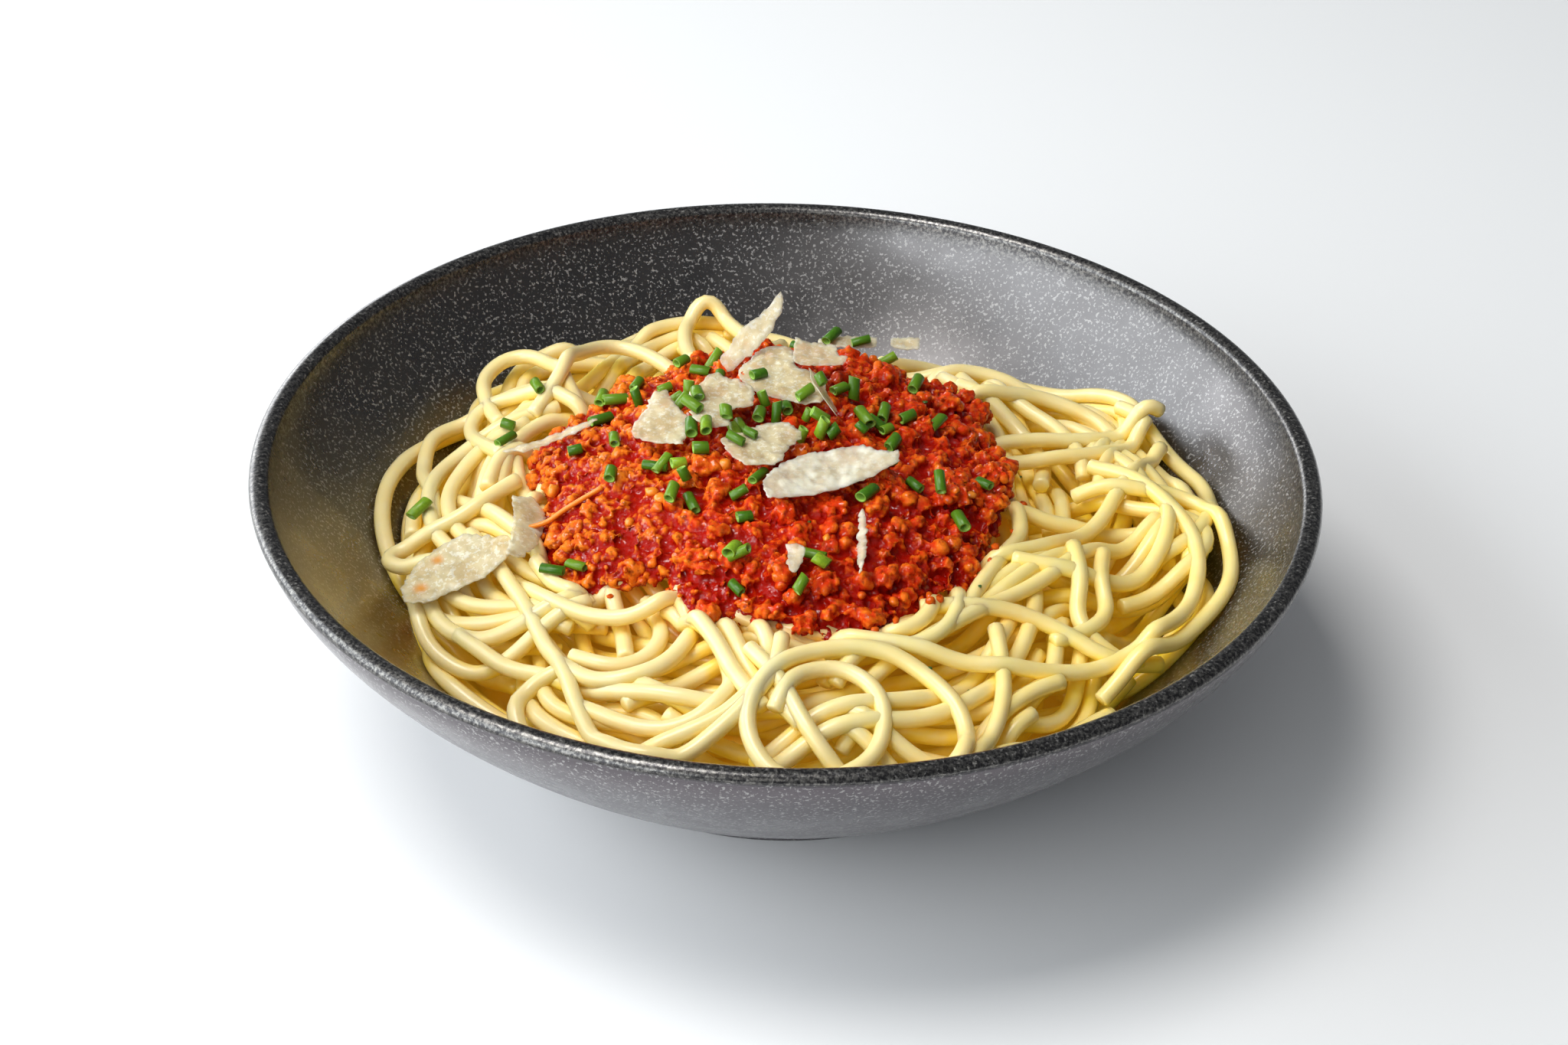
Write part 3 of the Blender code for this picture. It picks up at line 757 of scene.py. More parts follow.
# Corners of each shaving, x, y in mm from the middle of its solid, whose tilt it takes.
shavingOutlines = {
    "back_far": [(-6.3, -1.4), (-1.2, 0.6), (6.6, 0.3), (6.3, -2.7), (0.4, -3.6), (-6.0, -2.6)],
    "back_right": [(-2.8, 1.2), (0.7, 2.3), (3.6, 2.1), (3.4, -1.4), (-2.6, -1.5)],
    "wide": [(-13.5, 0.7), (-12.5, 3.6), (-8.1, 10.8), (-4.6, 10.6), (-2.3, 9.6), (-1.5, 2.0),
             (4.4, -1.0),
             (4.6, -5.0), (4.0, -9.5), (-0.0, -10.4), (-2.6, -9.3), (-6.7, -7.9), (-10.8, -5.2)],
    "flap": [(-5.6, 3.4), (2.9, 2.5), (3.1, -0.4), (5.4, -1.6), (4.3, -4.3), (-3.2, -5.2), (-5.7, -5.0)],
    "blade": [(6.2, 3.9), (7.2, 2.8), (4.8, -0.9), (0.3, -3.8), (-4.2, -5.7), (-5.8, -4.0), (-2.7, -0.5),
              (-1.5, 0.8), (0.4, 0.9), (3.0, 2.2)],
    "curl": [(-2.6, 5.8), (0.2, 5.6), (2.9, 1.2), (2.8, -5.8), (0.2, -3.5), (-2.4, 0.5)],
    "corner": [(-2.3, 7.7), (0.6, 8.9), (2.1, 4.8), (5.1, -0.7), (5.5, -6.7), (4.4, -10.6), (-0.1, -9.6),
               (-2.7, -8.7), (-5.8, -6.4), (-5.1, -1.8), (-3.1, 3.3)],
    "fold": [(-5.3, 2.4), (-1.0, 9.4), (2.6, 8.3), (6.7, 5.9), (7.8, 3.7), (7.4, -1.2), (3.2, -2.2),
             (3.1, -8.4), (-1.3, -9.6), (-4.4, -5.5)],
    "middle": [(-8.2, 1.7), (-3.8, 4.6), (0.5, 8.0), (5.5, 7.9), (8.1, 3.7), (4.9, -1.0), (3.8, -5.9),
               (-2.0, -7.1), (-5.0, -4.7)],
    "long": [(-12.5, 0.8), (-7.8, 6.9), (-1.9, 9.6), (6.5, 11.6), (9.0, 9.8), (13.1, 9.3), (13.3, 6.4),
             (5.0, 1.2), (-2.8, -2.8), (-11.9, -6.0), (-12.9, -3.1)],
    "sliver": [(-0.1, 9.8), (0.9, 8.0), (1.0, -1.2), (0.3, -8.8), (-0.7, -9.8), (-0.8, -0.4)],
    "chip": [(-1.6, 3.9), (0.3, 4.0), (2.0, 2.0), (1.2, -1.2), (-0.2, -3.4), (-1.5, -0.6)],
    "slip": [(-8.5, -5.0), (-0.7, -1.0), (5.0, 1.5), (10.4, 3.3), (8.6, 0.9), (2.4, -2.3), (-3.3, -4.9)],
    "left": [(-12.0, -5.0), (-10.0, 0.5), (-5.2, 5.6), (-0.2, 7.6), (6.0, 5.6), (10.9, 3.6), (8.0, -0.4),
             (4.0, -4.4), (-1.5, -6.4), (-7.1, -9.4), (-10.6, -9.0)],
    "scroll": [(-3.4, 8.0), (0.6, 10.2), (3.0, 7.6), (3.6, 3.0), (2.8, -4.2), (0.0, -11.0), (-2.6, -11.4),
               (-2.2, -3.0), (-2.6, 3.8)],
}
restsOnPasta = {"left": 94, "slip": 80, "back_right": 80, "scroll": 88}    # and how many percent it tops


def insideOutline(x, y, corners):
    inside = np.zeros(np.shape(x), bool)
    for (ax, ay), (bx, by) in zip(corners, corners[1:] + corners[:1]):
        if ay == by:
            continue
        crosses = (ay > y) != (by > y)
        inside ^= crosses & (x < (bx - ax) * (y - ay) / (by - ay) + ax)
    return inside


def placeOfShaving(name):
    points = pointsOf(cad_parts["shaving_" + name].data)
    middle = points.mean(axis=0)
    normal = np.linalg.svd(points - middle, full_matrices=False)[2][2]
    return middle, normal * np.sign(normal[2])


def planeHeight(place, x, y):
    middle, normal = place
    return middle[2] - (normal[0] * (x - middle[0]) + normal[1] * (y - middle[1])) / normal[2]


shavingPlaces = {name: placeOfShaving(name) for name in shavingOutlines}
for name, share in restsOnPasta.items():
    middle, normal = shavingPlaces[name]
    corners = [(x * 0.8 + middle[0], y * 0.8 + middle[1]) for x, y in shavingOutlines[name]]
    covered = insideOutline(gridX, gridY, corners)
    floating = pastaTop[covered] - planeHeight((middle, normal), gridX[covered], gridY[covered])
    lift = np.percentile(floating, share)
    shavingPlaces[name] = (middle + np.array([0, 0, np.clip(lift + 0.5, -2.0, 4.5)]), normal)


sauce = {
    "voxel": 0.40, "sink": 2.1, "thick": 4.5, "seed": 11, "most": 188000,
    "clumps": 330, "fine": 3600, "grain": (0.36, 0.85), "fineGrain": (0.35, 0.70),
    "roughen": ((1.7, 0.30), (5.5, 1.5)),     # size and height of the lumps in its skin
    "granules": ((1.8, 0.8), (1.0, 0.55)),    # size and height of its grains, which meet in creases
    "smallSide": -22.0,     # clumps are small and the sauce flatter left of this x
}
sauceLook = {
    "mince": (0.58, 0.032, 0.002, 1), "pale": (0.82, 0.195, 0.010, 1), "wetAndShade": (0.33, 0.005, 0.001, 1),
    "dark": (0.17, 0.011, 0.001, 1),
}


def ballShape(level):
    ball = bmesh.new()
    bmesh.ops.create_icosphere(ball, subdivisions=level, radius=1.0)
    points = np.array([v.co[:] for v in ball.verts])
    faces = np.array([[v.index for v in f.verts] for f in ball.faces])
    ball.free()
    return points, faces


def meshOfTriangles(name, points, faces):
    mesh = bpy.data.meshes.new(name)
    mesh.vertices.add(len(points))
    mesh.vertices.foreach_set("co", (np.asarray(points) * mm).ravel())
    mesh.loops.add(faces.size)
    mesh.loops.foreach_set("vertex_index", faces.ravel())
    mesh.polygons.add(len(faces))
    mesh.polygons.foreach_set("loop_start", np.arange(0, faces.size, 3))
    mesh.update(calc_edges=True)
    return mesh


def sauceReach(turn):
    # how far the sauce's outline lies from the bowl's axis in a direction
    marks = np.arange(5.0, 70.0, 0.25)
    covered = readMap(sauceMap, marks * math.cos(turn), marks * math.sin(turn)) > nowhere / 2
    return marks[covered].max() if covered.any() else 5.0


def sauceGrains(rng, smooth):
    # clumps of mince, each a cluster of grains, and fine grains everywhere between them
    grains, tones = [], []
    centres = []
    tries = 0
    while len(centres) < sauce["clumps"] and tries < 20000:
        tries += 1
        turn = rng.uniform(0, 2 * math.pi)
        reach = 56 * math.sqrt(rng.random())
        x, y = reach * math.cos(turn), reach * math.sin(turn)
        if reach > sauceReach(turn) - 0.6:
            continue
        small = 1.0 if x < sauce["smallSide"] else 0.0
        size = rng.uniform(1.2, 3.0) if small else 1.5 + 3.2 * rng.random() ** 1.5
        if any(math.hypot(x - cx, y - cy) < 0.84 * (size + cr) for cx, cy, cr in centres):
            continue
        centres.append((x, y, size))
        lift = rng.uniform(-0.30, 0.30) - 0.40 * small
        level = float(readMap(smooth, x, y)) - sauce["sink"] + size * lift
        tone = rng.random()
        grains.append((x, y, level, size * 0.62))
        tones.append(tone)
        count = int(9 + 6.5 * size**1.7)
        for k in range(count):
            lift = 1 - 1.35 * (k + 0.5) / count
            spin = k * 2.39996 + rng.uniform(-0.4, 0.4)
            side = math.sqrt(max(0.0, 1 - lift * lift))
            away = size * rng.uniform(0.62, 0.88)
            own = rng.uniform(*sauce["grain"]) * (0.72 if small else 1.0)
            grains.append((x + away * side * math.cos(spin), y + away * side * math.sin(spin),
                           level + away * 0.85 * lift, own))
            tones.append(np.clip(tone + rng.normal(0, 0.22), 0, 1))
    for _ in range(sauce["fine"]):
        turn = rng.uniform(0, 2 * math.pi)
        reach = 56 * math.sqrt(rng.random())
        if reach > sauceReach(turn):
            continue
        x, y = reach * math.cos(turn), reach * math.sin(turn)
        own = rng.uniform(*sauce["fineGrain"])
        level = float(readMap(smooth, x, y)) - sauce["sink"] - 0.05 + rng.normal(0, 0.28)
        grains.append((x, y, level, own))
        tones.append(rng.random() * 0.8)
    return np.array(grains), np.array(tones)


def sauceMound(smooth):
    rings, turns = 44, 150
    points, faces = [], []
    reaches = np.array([sauceReach(2 * math.pi * k / turns) for k in range(turns)])
    for level in (0, 1):
        for r in range(rings + 1):
            share = r / rings
            for k in range(turns):
                turn = 2 * math.pi * k / turns
                away = (reaches[k] - 0.8) * share
                x, y = away * math.cos(turn), away * math.sin(turn)
                top = float(readMap(smooth, x, y)) - sauce["sink"] - 1.2 * share**8
                points.append((x, y, top if level == 0 else top - 0.4 - sauce["thick"] * (1 - share**6)))
    size = (rings + 1) * turns
    for r in range(rings):
        for k in range(turns):
            a, b = r * turns + k, r * turns + (k + 1) % turns
            faces += [(a, a + turns, b + turns), (a, b + turns, b)]
            faces += [(size + b, size + b + turns, size + a + turns)]
            faces += [(size + b, size + a + turns, size + a)]
    edge = rings * turns
    for k in range(turns):
        j = (k + 1) % turns
        faces += [(edge + k, size + edge + k, size + edge + j), (edge + k, size + edge + j, edge + j)]
    return np.array(points), np.array(faces)


def makeSauceMaterial():
    look = sauceLook
    material, shader, tree = newMaterial(
        "meatSauce", 0.36, Subsurface_Weight=0.15, Subsurface_Scale=0.0009,
        Coat_Roughness=0.05, Specular_IOR_Level=0.06, Subsurface_Radius=(1.0, 0.30, 0.10),
    )
    # painted highlight: a higher tone on ridges and grain tops mixes in the paler orange
    color = mixColors(tree, readPoints(tree, "tone"), look["mince"], look["pale"])
    patch = remap(tree, grainNoise(tree, 1.3, 3.0), 0.52, 0.70, 0.0, 0.75)
    color = mixColors(tree, patch, color, look["dark"])
    speck = remap(tree, grainNoise(tree, 0.55, 2.0), 0.60, 0.72, 0.0, 0.55)
    color = mixColors(tree, speck, color, look["pale"])
    # the wet mask darkens low places and creases: partly the wet sauce's own colour, partly painted shade
    color = mixColors(tree, readPoints(tree, "wetAndShade"), color, look["wetAndShade"])
    tree.links.new(color, shader.inputs["Base Color"])
    tree.links.new(remap(tree, readPoints(tree, "wetAndShade"), 0, 1, 0.42, 0.16), shader.inputs["Roughness"])
    glints = remap(tree, grainNoise(tree, 1.1, 3.0, 0.6), 0.51, 0.60, 0.02, 0.9)
    tree.links.new(glints, shader.inputs["Coat Weight"])
    addBump(tree, shader, grainNoise(tree, 0.55, 4.0, 0.65), 0.22, 0.75)
    return material


def makeSauce():
    rng = np.random.default_rng(sauce["seed"])
    filled = np.where(sauceMap > nowhere / 2, sauceMap, heapMap)
    smooth = blurMap(np.where(filled > nowhere / 2, filled, 30.0), 3)
    grains, tones = sauceGrains(rng, smooth)
    ballPoints, ballFaces = ballShape(2)
    moundPoints, moundFaces = sauceMound(smooth)
    squeeze = rng.uniform(0.8, 1.2, (len(grains), 1, 3))
    points = grains[:, None, :3] + ballPoints[None] * grains[:, 3, None, None] * squeeze
    faces = ballFaces[None] + (np.arange(len(grains)) * len(ballPoints))[:, None, None]
    points = np.vstack([moundPoints, points.reshape(-1, 3)])
    faces = np.vstack([moundFaces, faces.reshape(-1, 3) + len(moundPoints)])
    mesh = meshOfTriangles("bologneseSauce", points, faces)
    piece = bpy.data.objects.new("bologneseSauce", mesh)
    bpy.context.scene.collection.objects.link(piece)
    remesh = piece.modifiers.new("skin", "REMESH")
    remesh.mode = "VOXEL"
    remesh.voxel_size = sauce["voxel"] * mm
    skin = applyModifiers(piece)
    skin.name = "bologneseSauce"
    points = pointsOf(skin)
    normals = np.empty(len(skin.vertices) * 3)
    skin.vertices.foreach_get("normal", normals)
    normals = normals.reshape(-1, 3)
    start = points.copy()
    for size, height in sauce["roughen"]:
        points += normals * (np.array([noise.noise(Vector(p) / size) for p in start]) * height)[:, None]
    creases = np.zeros(len(points))
    for size, height in sauce["granules"]:
        bent = [Vector(p) / size + noise.noise_vector(Vector(p) / size / 1.3) * 0.45 for p in start]
        lumps = 0.42 - np.array([noise.voronoi(p)[0][0] for p in bent])
        creases += lumps
        points += normals * (lumps * height)[:, None]
    level = readMap(smooth, points[:, 0], points[:, 1])
    for name, corners in shavingOutlines.items():    # the sauce gives way under the cheese
        if name in restsOnPasta or name == "blade":
            continue
        middle, normal = shavingPlaces[name]
        x, y = (points[:, 0] - middle[0]) * 0.94, (points[:, 1] - middle[1]) * 0.94
        under = insideOutline(x, y, corners)
        ceiling = planeHeight((middle, normal), points[:, 0], points[:, 1]) - 0.5
        points[:, 2] = np.where(under, np.minimum(points[:, 2], ceiling), points[:, 2])
    skin.vertices.foreach_set("co", (points * mm).ravel())
    tree = kdtree.KDTree(len(grains))
    for i, grain in enumerate(grains):
        tree.insert(grain[:3], i)
    tree.balance()
    owner = np.array([tree.find(p)[1] for p in points])
    height = points[:, 2] - (level - sauce["sink"])
    ridges = pastaTop - 4.0
    np.maximum.at(ridges, (cellOf(points[:, 0]), cellOf(points[:, 1])), points[:, 2])
    ridge = points[:, 2] - readMap(blurMap(ridges, 4), points[:, 0], points[:, 1])
    # wet sauce lies low, in the creases between grains and off the ridges, where it is also glossier; its
    # darkness there is partly painted shade
    wetAndShade = np.clip(0.50 - 0.50 * height - 0.8 * ridge - 0.7 * creases, 0, 1)
    paintPoints(piece, "wetAndShade", wetAndShade * wetAndShade * (3 - 2 * wetAndShade))
    # ridges and grain tops get a painted highlight, a paler orange; the rest of tone is each clump's own
    # random shade and a rise towards the left
    orange = np.clip((-points[:, 0] - 8) / 24, 0, 1) * 0.45
    tone = tones[owner] ** 2 * 0.4 + 1.5 * orange + 0.4 * np.clip(ridge, -0.3, 1) + creases
    paintPoints(piece, "tone", np.clip(tone, 0, 1))
    low = points[:, 2] < level - sauce["sink"] - 2.2
    hidden = piece.vertex_groups.new(name="hidden")
    hidden.add([int(i) for i in np.where(low)[0]], 1.0, "REPLACE")
    for thinned in ("hidden", ""):    # first the underside, then as much of the whole as still has to go
        thin = piece.modifiers.new("thin", "DECIMATE")
        thin.ratio = min(1.0, sauce["most"] / countTriangles(skin))
        thin.vertex_group = thinned
        skin = applyModifiers(piece)
    skin.shade_smooth()
    skin.materials.clear()
    skin.materials.append(makeSauceMaterial())
    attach(piece, "root")
    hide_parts("meat_sauce")
    say(f"sauce has {countTriangles(skin)} triangles and {len(grains)} grains")


makeSauce()


def topMap():
    # heights of all that lies in the bowl so far, for what is dropped on it
    heights = pastaTop.copy()
    points = pointsOf(bpy.data.objects["bologneseSauce"].data)
    np.maximum.at(heights, (cellOf(points[:, 0]), cellOf(points[:, 1])), points[:, 2])
    return heights


foodTop = topMap()


cheese = {"thick": 0.34, "edge": 0.09, "ragged": 0.30, "spacing": 0.55, "seed": 3}
# edge is the colour of the painted highlight along each shaving's rim
cheeseLook = {
    "cream": (0.60, 0.47, 0.22, 1), "white": (0.84, 0.79, 0.64, 1), "thin": (0.66, 0.45, 0.18, 1),
    "edge": (0.84, 0.77, 0.56, 1), "stain": (0.75, 0.30, 0.03, 1),
}


def makeCheeseMaterial():
    look = cheeseLook
    material, shader, tree = newMaterial(
        "shavedCheese", 0.38, Subsurface_Weight=0.5, Subsurface_Scale=0.0018,
        Subsurface_Radius=(1.0, 0.8, 0.5), Coat_Weight=0.25, Coat_Roughness=0.22,
    )
    crystal = remap(tree, grainNoise(tree, 1.0, 3.0, 0.7), 0.52, 0.60)
    cloud = remap(tree, grainNoise(tree, 5.0, 2.0), 0.35, 0.65)
    color = mixColors(tree, readPoints(tree, "pale"), look["cream"], look["white"])
    color = mixColors(tree, remap(tree, cloud, 0, 1, 0, 0.35), color, look["thin"])
    # painted highlight: the rim of each shaving is painted paler
    color = mixColors(tree, scaled(tree, readPoints(tree, "rim"), 0.45), color, look["edge"])
    color = mixColors(tree, scaled(tree, crystal, 0.75), color, look["white"])
    color = mixColors(tree, readPoints(tree, "stain"), color, look["stain"])
    tree.links.new(color, shader.inputs["Base Color"])
    solid = addNode(tree, "ShaderNodeMath", operation="SUBTRACT")
    tree.links.new(remap(tree, cloud, 0, 1, 0.96, 0.66), solid.inputs[0])
    tree.links.new(remap(tree, readPoints(tree, "rim"), 0.3, 1, 0.0, 0.22), solid.inputs[1])
    tree.links.new(solid.outputs[0], shader.inputs["Alpha"])
    addBump(tree, shader, grainNoise(tree, 0.8, 4.0, 0.7), 0.10, 0.45)
    return material


def shavingMesh(name, corners, place, rng):
    middle, normal = place
    ring = []
    for (ax, ay), (bx, by) in zip(corners, corners[1:] + corners[:1]):
        steps = max(2, int(math.hypot(bx - ax, by - ay) / cheese["spacing"]))
        for k in range(steps):
            t = k / steps
            ring.append((ax + (bx - ax) * t, ay + (by - ay) * t))
    ring = np.array(ring)
    for _ in range(2):
        ring = (np.roll(ring, 1, 0) + 4 * ring + np.roll(ring, -1, 0)) / 6
    ring += rng.normal(0, 0.06, ring.shape)
    torn = [[noise.noise(Vector((x * 0.9, y * 0.9, depth))) for depth in (7.1, 31.7)] for x, y in ring]
    ring += np.array(torn) * cheese["ragged"] * 2
    low, high = ring.min(axis=0), ring.max(axis=0)
    xs, ys = np.meshgrid(np.arange(low[0], high[0], cheese["spacing"]),
                         np.arange(low[1], high[1], cheese["spacing"]), indexing="ij")
    seeds = np.column_stack([xs.ravel(), ys.ravel()]) + rng.uniform(-0.12, 0.12, (xs.size, 2))
    gap = np.sqrt(((seeds[:, None] - ring[None]) ** 2).sum(axis=2)).min(axis=1)
    seeds = seeds[insideOutline(seeds[:, 0], seeds[:, 1], [tuple(p) for p in ring]) & (gap > 0.35)]
    flat = [Vector(p) for p in np.vstack([ring, seeds])]
    edges = [(k, (k + 1) % len(ring)) for k in range(len(ring))]
    points, _, faces, *_ = delaunay_2d_cdt(flat, edges, [], 1, 1e-5)
    plan = np.array([p[:] for p in points])
    gap = np.sqrt(((plan[:, None] - ring[None]) ** 2).sum(axis=2)).min(axis=1)
    across = plan @ np.array([normal[0], normal[1]])
    bump = np.array([noise.fractal(Vector((x * 0.42, y * 0.42, middle[0])), 0.6, 2.0, 4)
                     for x, y in plan])
    span = np.abs(plan).max()
    curl = cheeseCurl.get(name, 0.4) * ((plan[:, 0] ** 2 + plan[:, 1] ** 2) / span**2)
    mid = middle[2] - across / normal[2] + bump * 0.26 + curl
    half = cheese["edge"] + (cheese["thick"] - cheese["edge"]) * np.clip(gap / 1.6, 0, 1)
    half = half * (1 + 0.15 * bump)
    top = np.column_stack([plan + middle[:2], mid + half])
    under = np.column_stack([plan + middle[:2], mid - half])
    count = len(plan)
    allFaces = [tuple(f) for f in faces] + [tuple(count + i for i in reversed(f)) for f in faces]
    uses = {}
    for f in faces:
        for a, b in zip(f, list(f[1:]) + [f[0]]):
            uses[(a, b)] = uses.get((a, b), 0) + 1
    for a, b in list(uses):
        if (b, a) not in uses:
            allFaces.append((b, a, count + a, count + b))
    return np.vstack([top, under]), allFaces, np.concatenate([gap, gap])


cheeseCurl = {"long": 1.4, "left": 1.0, "wide": -0.8, "blade": 0.8, "flap": 0.6, "corner": 0.5, "fold": 0.7,
              "slip": 0.6, "scroll": 0.0}
cheesePale = {"long": 0.85, "flap": 0.45, "sliver": 0.6, "chip": 0.6, "left": 0.25}


def makeShavings():
    rng = np.random.default_rng(cheese["seed"])
    material = makeCheeseMaterial()
    for name, corners in shavingOutlines.items():
        points, faces, gap = shavingMesh(name, corners, shavingPlaces[name], rng)
        piece = newPiece("cheese_" + name, points, faces, material)
        paintPoints(piece, "rim", np.clip(1 - gap / 1.8, 0, 1))
        paintPoints(piece, "pale", np.full(len(points), cheesePale.get(name, 0.3)))
        stain = np.zeros(len(points))
        if name == "left":
            for x, y, size in ((-5.5, 1.5, 1.3), (-8.0, -5.5, 1.6)):
                away = np.hypot(points[:, 0] - shavingPlaces[name][0][0] - x,
                                points[:, 1] - shavingPlaces[name][0][1] - y)
                stain = np.maximum(stain, np.clip(1.2 - away / size, 0, 1))
        paintPoints(piece, "stain", stain)
        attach(piece, "root")
        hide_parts("shaving_" + name)


makeShavings()
say("cheese is shaved")


chives = {"radius": (0.95, 1.32), "wall": 0.33, "length": (2.4, 5.0), "sides": 14, "seed": 8}
# Where cut rings lie: x, y in mm.
chiveSpots = {
    "behindBlade": [(-16, 35), (-22, 31), (-18, 26), (-14, 22)],
    "crest": [(2, 47), (9, 45), (15, 44), (21, 43)],
    "onWide": [(-6, 17), (-5, 9), (-6, 5), (-2, 6), (0, 8), (3, 10), (6, 8), (4, 5), (6, 3)],
    "belowCurl": [(3, -1), (7, -1), (9, -1), (10, 14), (13, 15)],
    "rightGroup": [(15, 1), (15, 6), (19, 9), (18, 5), (20, 4), (21, -1), (20, -5), (24, 10), (30, 11)],
    "rightOuter": [(26, 26), (25, -12), (30, -14), (39, -8), (16, -19), (34, -21)],
    "byCorner": [(-20, 17), (-22, 15), (-21, 11), (-18, 6), (-19, 2), (-19, -2), (-16, -5), (-17, -8)],
    "onMiddle": [(-12, -1), (-10, 0), (-9, 2), (-10, -8), (-7, -6), (-5, -16)],
    "leftPairs": [(-21, -9), (-26, -8), (-24, -8), (-20, -15), (-22, -19), (-18, -19)],
    "backLeft": [(-52, 33), (-38, 24), (-35, 22), (-31, 26), (-31, 19), (-25, 22), (-38, 16)],
    "left": [(-34, 4), (-42, 4), (-58, 22), (-57, 15), (-34, -10), (-40, -27), (-44, -28), (-73, -4)],
    "front": [(-9, -19), (-8, -25), (6, -35), (7, -38), (3, -43), (-10, -35), (-8, -36), (-9, -40)],
}
chiveLook = {
    "dark": (0.040, 0.128, 0.004, 1), "lime": (0.27, 0.42, 0.020, 1),
    "vein": (0.08, 0.20, 0.010, 1), "inner": (0.30, 0.50, 0.08, 1),
}


def makeChiveMaterial():
    look = chiveLook
    material, shader, tree = newMaterial(
        "cutChives", 0.34, Subsurface_Weight=0.15, Subsurface_Scale=0.0008, Coat_Weight=0.15,
        Specular_IOR_Level=0.25,
        Coat_Roughness=0.2, Subsurface_Radius=(0.4, 1.0, 0.2),
    )
    color = mixColors(tree, readPoints(tree, "tone"), look["dark"], look["lime"])
    stripe = remap(tree, grainNoise(tree, 0.6, 2.0), 0.4, 0.6, 0.0, 0.35)
    color = mixColors(tree, stripe, color, look["vein"])
    color = mixColors(tree, readPoints(tree, "inner"), color, look["inner"])
    tree.links.new(color, shader.inputs["Base Color"])
    addBump(tree, shader, grainNoise(tree, 0.5, 2.0), 0.04, 0.4)
    return material


def makeChives():
    rng = np.random.default_rng(chives["seed"])
    points, faces, tone, inner = [], [], [], []
    sides = chives["sides"]
    heights = foodTop.copy()
    for name in shavingOutlines:
        mesh = bpy.data.objects["cheese_" + name].data
        spots = np.array([v.co[:] for v in mesh.vertices]) / mm
        np.maximum.at(heights, (cellOf(spots[:, 0]), cellOf(spots[:, 1])), spots[:, 2])
    for spots in chiveSpots.values():
        for x, y in spots:
            size = rng.uniform(*chives["radius"])
            length = rng.uniform(*chives["length"])
            heading = rng.uniform(0, math.pi)
            lean = rng.choice([0.0, 0.15, 0.5, 1.1], p=[0.4, 0.3, 0.2, 0.1])
            axisOf = Vector((math.cos(heading) * math.cos(lean), math.sin(heading) * math.cos(lean),
                             math.sin(lean)))
            side = axisOf.cross(Vector((0, 0, 1))).normalized()
            up = side.cross(axisOf)
            spread = np.arange(-2, 3) * 0.5
            near = heights[cellOf(x + spread)[:, None], cellOf(y + spread)[None, :]]
            rest = float(np.percentile(near, 75)) + size * 0.75 + 0.4 * length * math.sin(lean)
            middle = Vector((x + rng.uniform(-0.4, 0.4), y + rng.uniform(-0.4, 0.4), rest))
            flat = rng.uniform(0.78, 1.0)
            shade = np.clip(rng.normal(0.28, 0.28), 0, 1)
            slant = rng.uniform(-0.35, 0.35)
            first = len(points)
            bore = size - chives["wall"]
            for end, radius in ((-1, size), (1, size), (1, bore), (-1, bore)):
                for k in range(sides):
                    turn = 2 * math.pi * k / sides
                    along = end * length / 2 + slant * radius * math.cos(turn)
                    p = middle + axisOf * along + side * math.cos(turn) * radius
                    p += up * math.sin(turn) * radius * flat
                    points.append(p)
                    tone.append(shade)
                    inner.append(0.0 if radius == size else 1.0)
            for ring in range(4):
                for k in range(sides):
                    j = (k + 1) % sides
                    a, b = first + ring * sides, first + ((ring + 1) % 4) * sides
                    faces.append((a + k, b + k, b + j, a + j))
    piece = newPiece("choppedChives", np.array([p[:] for p in points]), faces, makeChiveMaterial(), False)
    paintPoints(piece, "tone", tone)
    paintPoints(piece, "inner", inner)
    bevel = piece.modifiers.new("soft", "BEVEL")
    bevel.width = 0.06 * mm
    bevel.segments = 1
    piece.data.shade_smooth()
    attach(piece, "root")


makeChives()
say("chives are scattered")

bits = {
    "carrotStrip": [(-51, -17), (-46, -15.8), (-41, -13.4), (-36, -11)], "stripRadius": 0.52,
    "vegetables": [(-24, -17), (-26, -14), (-12, -10), (-46, -5), (8, -30), (36, -12),
                   (-30, -20), (2, -12)],
    "vegetableSize": (0.8, 1.5), "crumbs": 26, "crumbSize": (0.4, 1.0), "crumbReach": (-0.4, 3.0),
    "herbs": 16, "herbSize": (0.35, 0.6), "seed": 21,
}
bitsLook = {"carrot": (0.86, 0.25, 0.012, 1), "herb": (0.035, 0.10, 0.01, 1)}


def plainMaterial(name, color, roughness):
    material, shader, _ = newMaterial(name, roughness, Subsurface_Weight=0.2, Subsurface_Scale=0.001,
                                      Coat_Weight=0.3, Coat_Roughness=0.1)
    shader.inputs["Base Color"].default_value = color
    return material


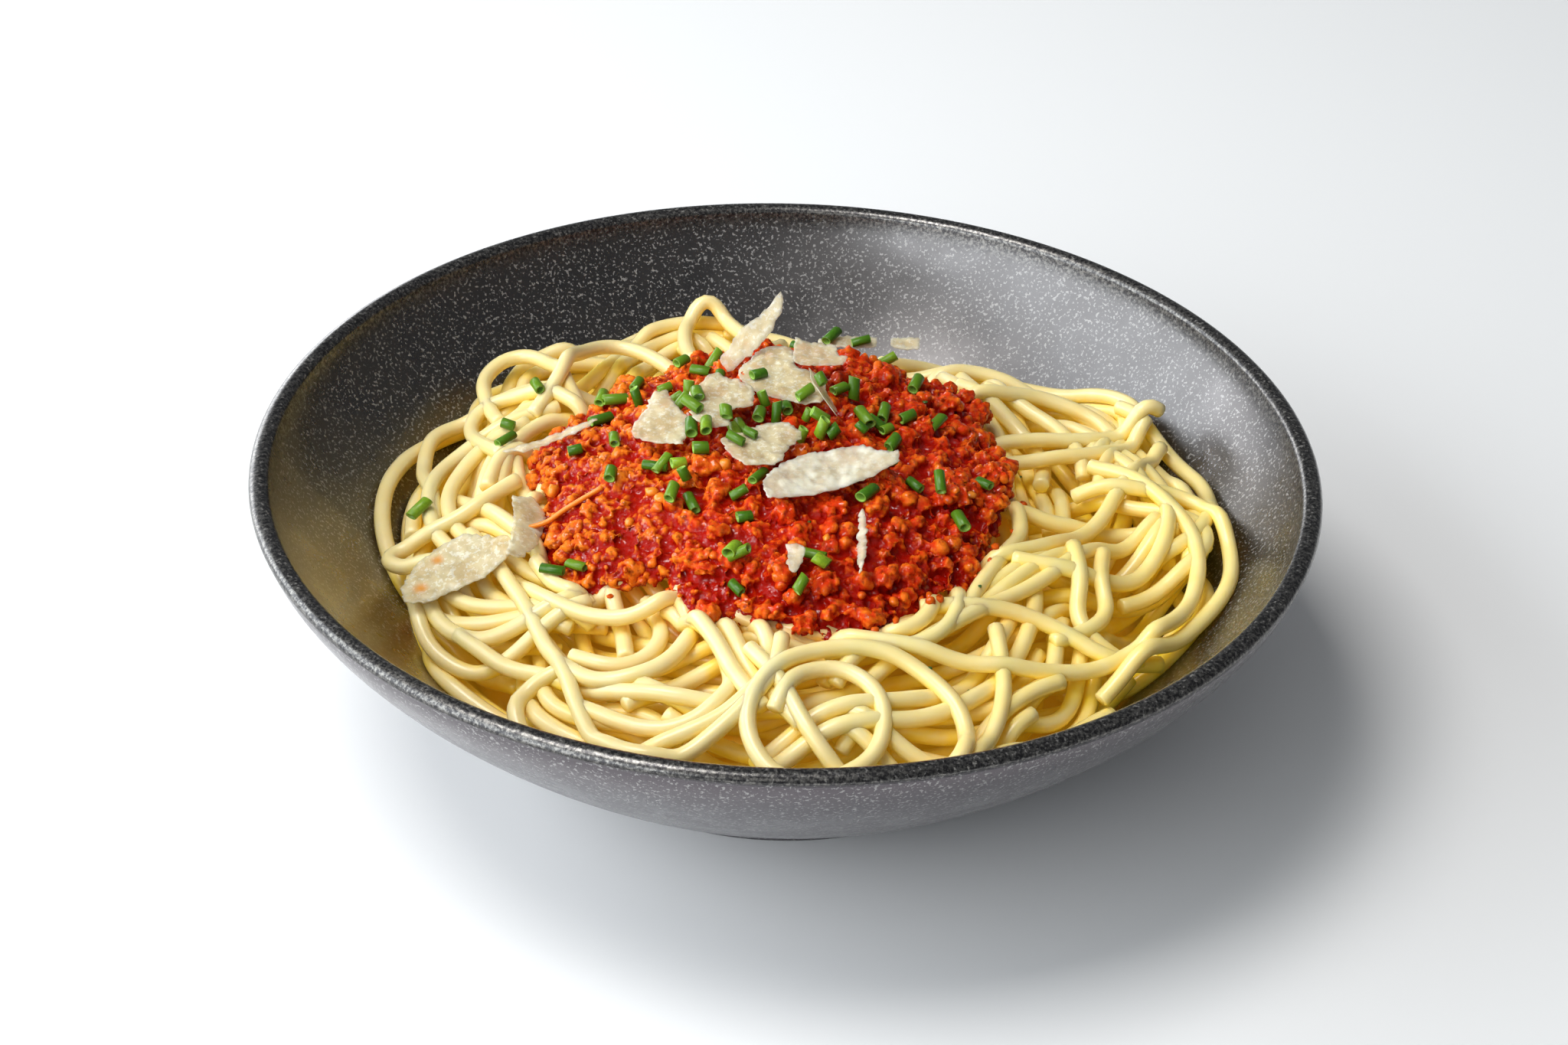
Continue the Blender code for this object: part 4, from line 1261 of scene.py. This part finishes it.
def makeLumps(name, spots, sizes, squash, material):
    # small rough lumps, each half sunk in what it lies on
    rng = np.random.default_rng(bits["seed"])
    ball, ballFaces = ballShape(2)
    points, faces = [], []
    for i, (x, y) in enumerate(spots):
        size = rng.uniform(*sizes)
        squeeze = rng.uniform(0.7, 1.25, 3) * (1, 1, squash)
        shift = Vector((i * 3.1, 0, 0))
        rough = np.array([1 + 0.35 * noise.noise(Vector(p) * 1.6 + shift) for p in ball])
        place = (x, y, readMap(foodTop, x, y) + 0.25 * size * squash)
        points.append(ball * squeeze * rough[:, None] * size + place)
        faces.append(ballFaces + i * len(ball))
    faces = [tuple(int(k) for k in face) for face in np.vstack(faces)]
    piece = newPiece(name, np.vstack(points), faces, material)
    paintPoints(piece, "tone", np.full(len(piece.data.vertices), 0.55))
    paintPoints(piece, "wetAndShade", np.full(len(piece.data.vertices), 0.25))
    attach(piece, "root")


def makeBits():
    rng = np.random.default_rng(bits["seed"])
    carrot = plainMaterial("carrot", bitsLook["carrot"], 0.35)
    makeLumps("vegetableBits", bits["vegetables"], bits["vegetableSize"], 0.8, carrot)
    route = smoothRoute([(x, y, 0.0) for x, y in bits["carrotStrip"]])
    across = np.arange(-2, 3) * 0.4
    tops = np.array([readMap(foodTop, x + across, y + np.zeros(5)).max() for x, y in route[:, :2]])
    route[:, 2] = np.convolve(np.pad(tops, 3, "edge"), np.ones(7) / 7, "valid") + 0.5
    strip = [dict(route=route, radius=bits["stripRadius"])]
    points, faces, _, _ = tubes(strip, 6, 1.0)
    piece = newPiece("carrotStrip", points, faces, carrot)
    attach(piece, "root")
    crumbs = []
    while len(crumbs) < bits["crumbs"]:
        turn = math.radians(rng.uniform(-170, 10))
        reach = sauceReach(turn) + rng.uniform(*bits["crumbReach"])
        crumbs.append((reach * math.cos(turn), reach * math.sin(turn)))
    makeLumps("looseCrumbs", crumbs, bits["crumbSize"], 0.8, makeSauceMaterial())
    herbs = []
    while len(herbs) < bits["herbs"]:
        turn, reach = rng.uniform(-math.pi, math.pi), rng.uniform(15, 72)
        herbs.append((reach * math.cos(turn), reach * math.sin(turn)))
    green = plainMaterial("herb", bitsLook["herb"], 0.5)
    makeLumps("herbFlecks", herbs, bits["herbSize"], 0.35, green)


makeBits()
say("bits are strewn")
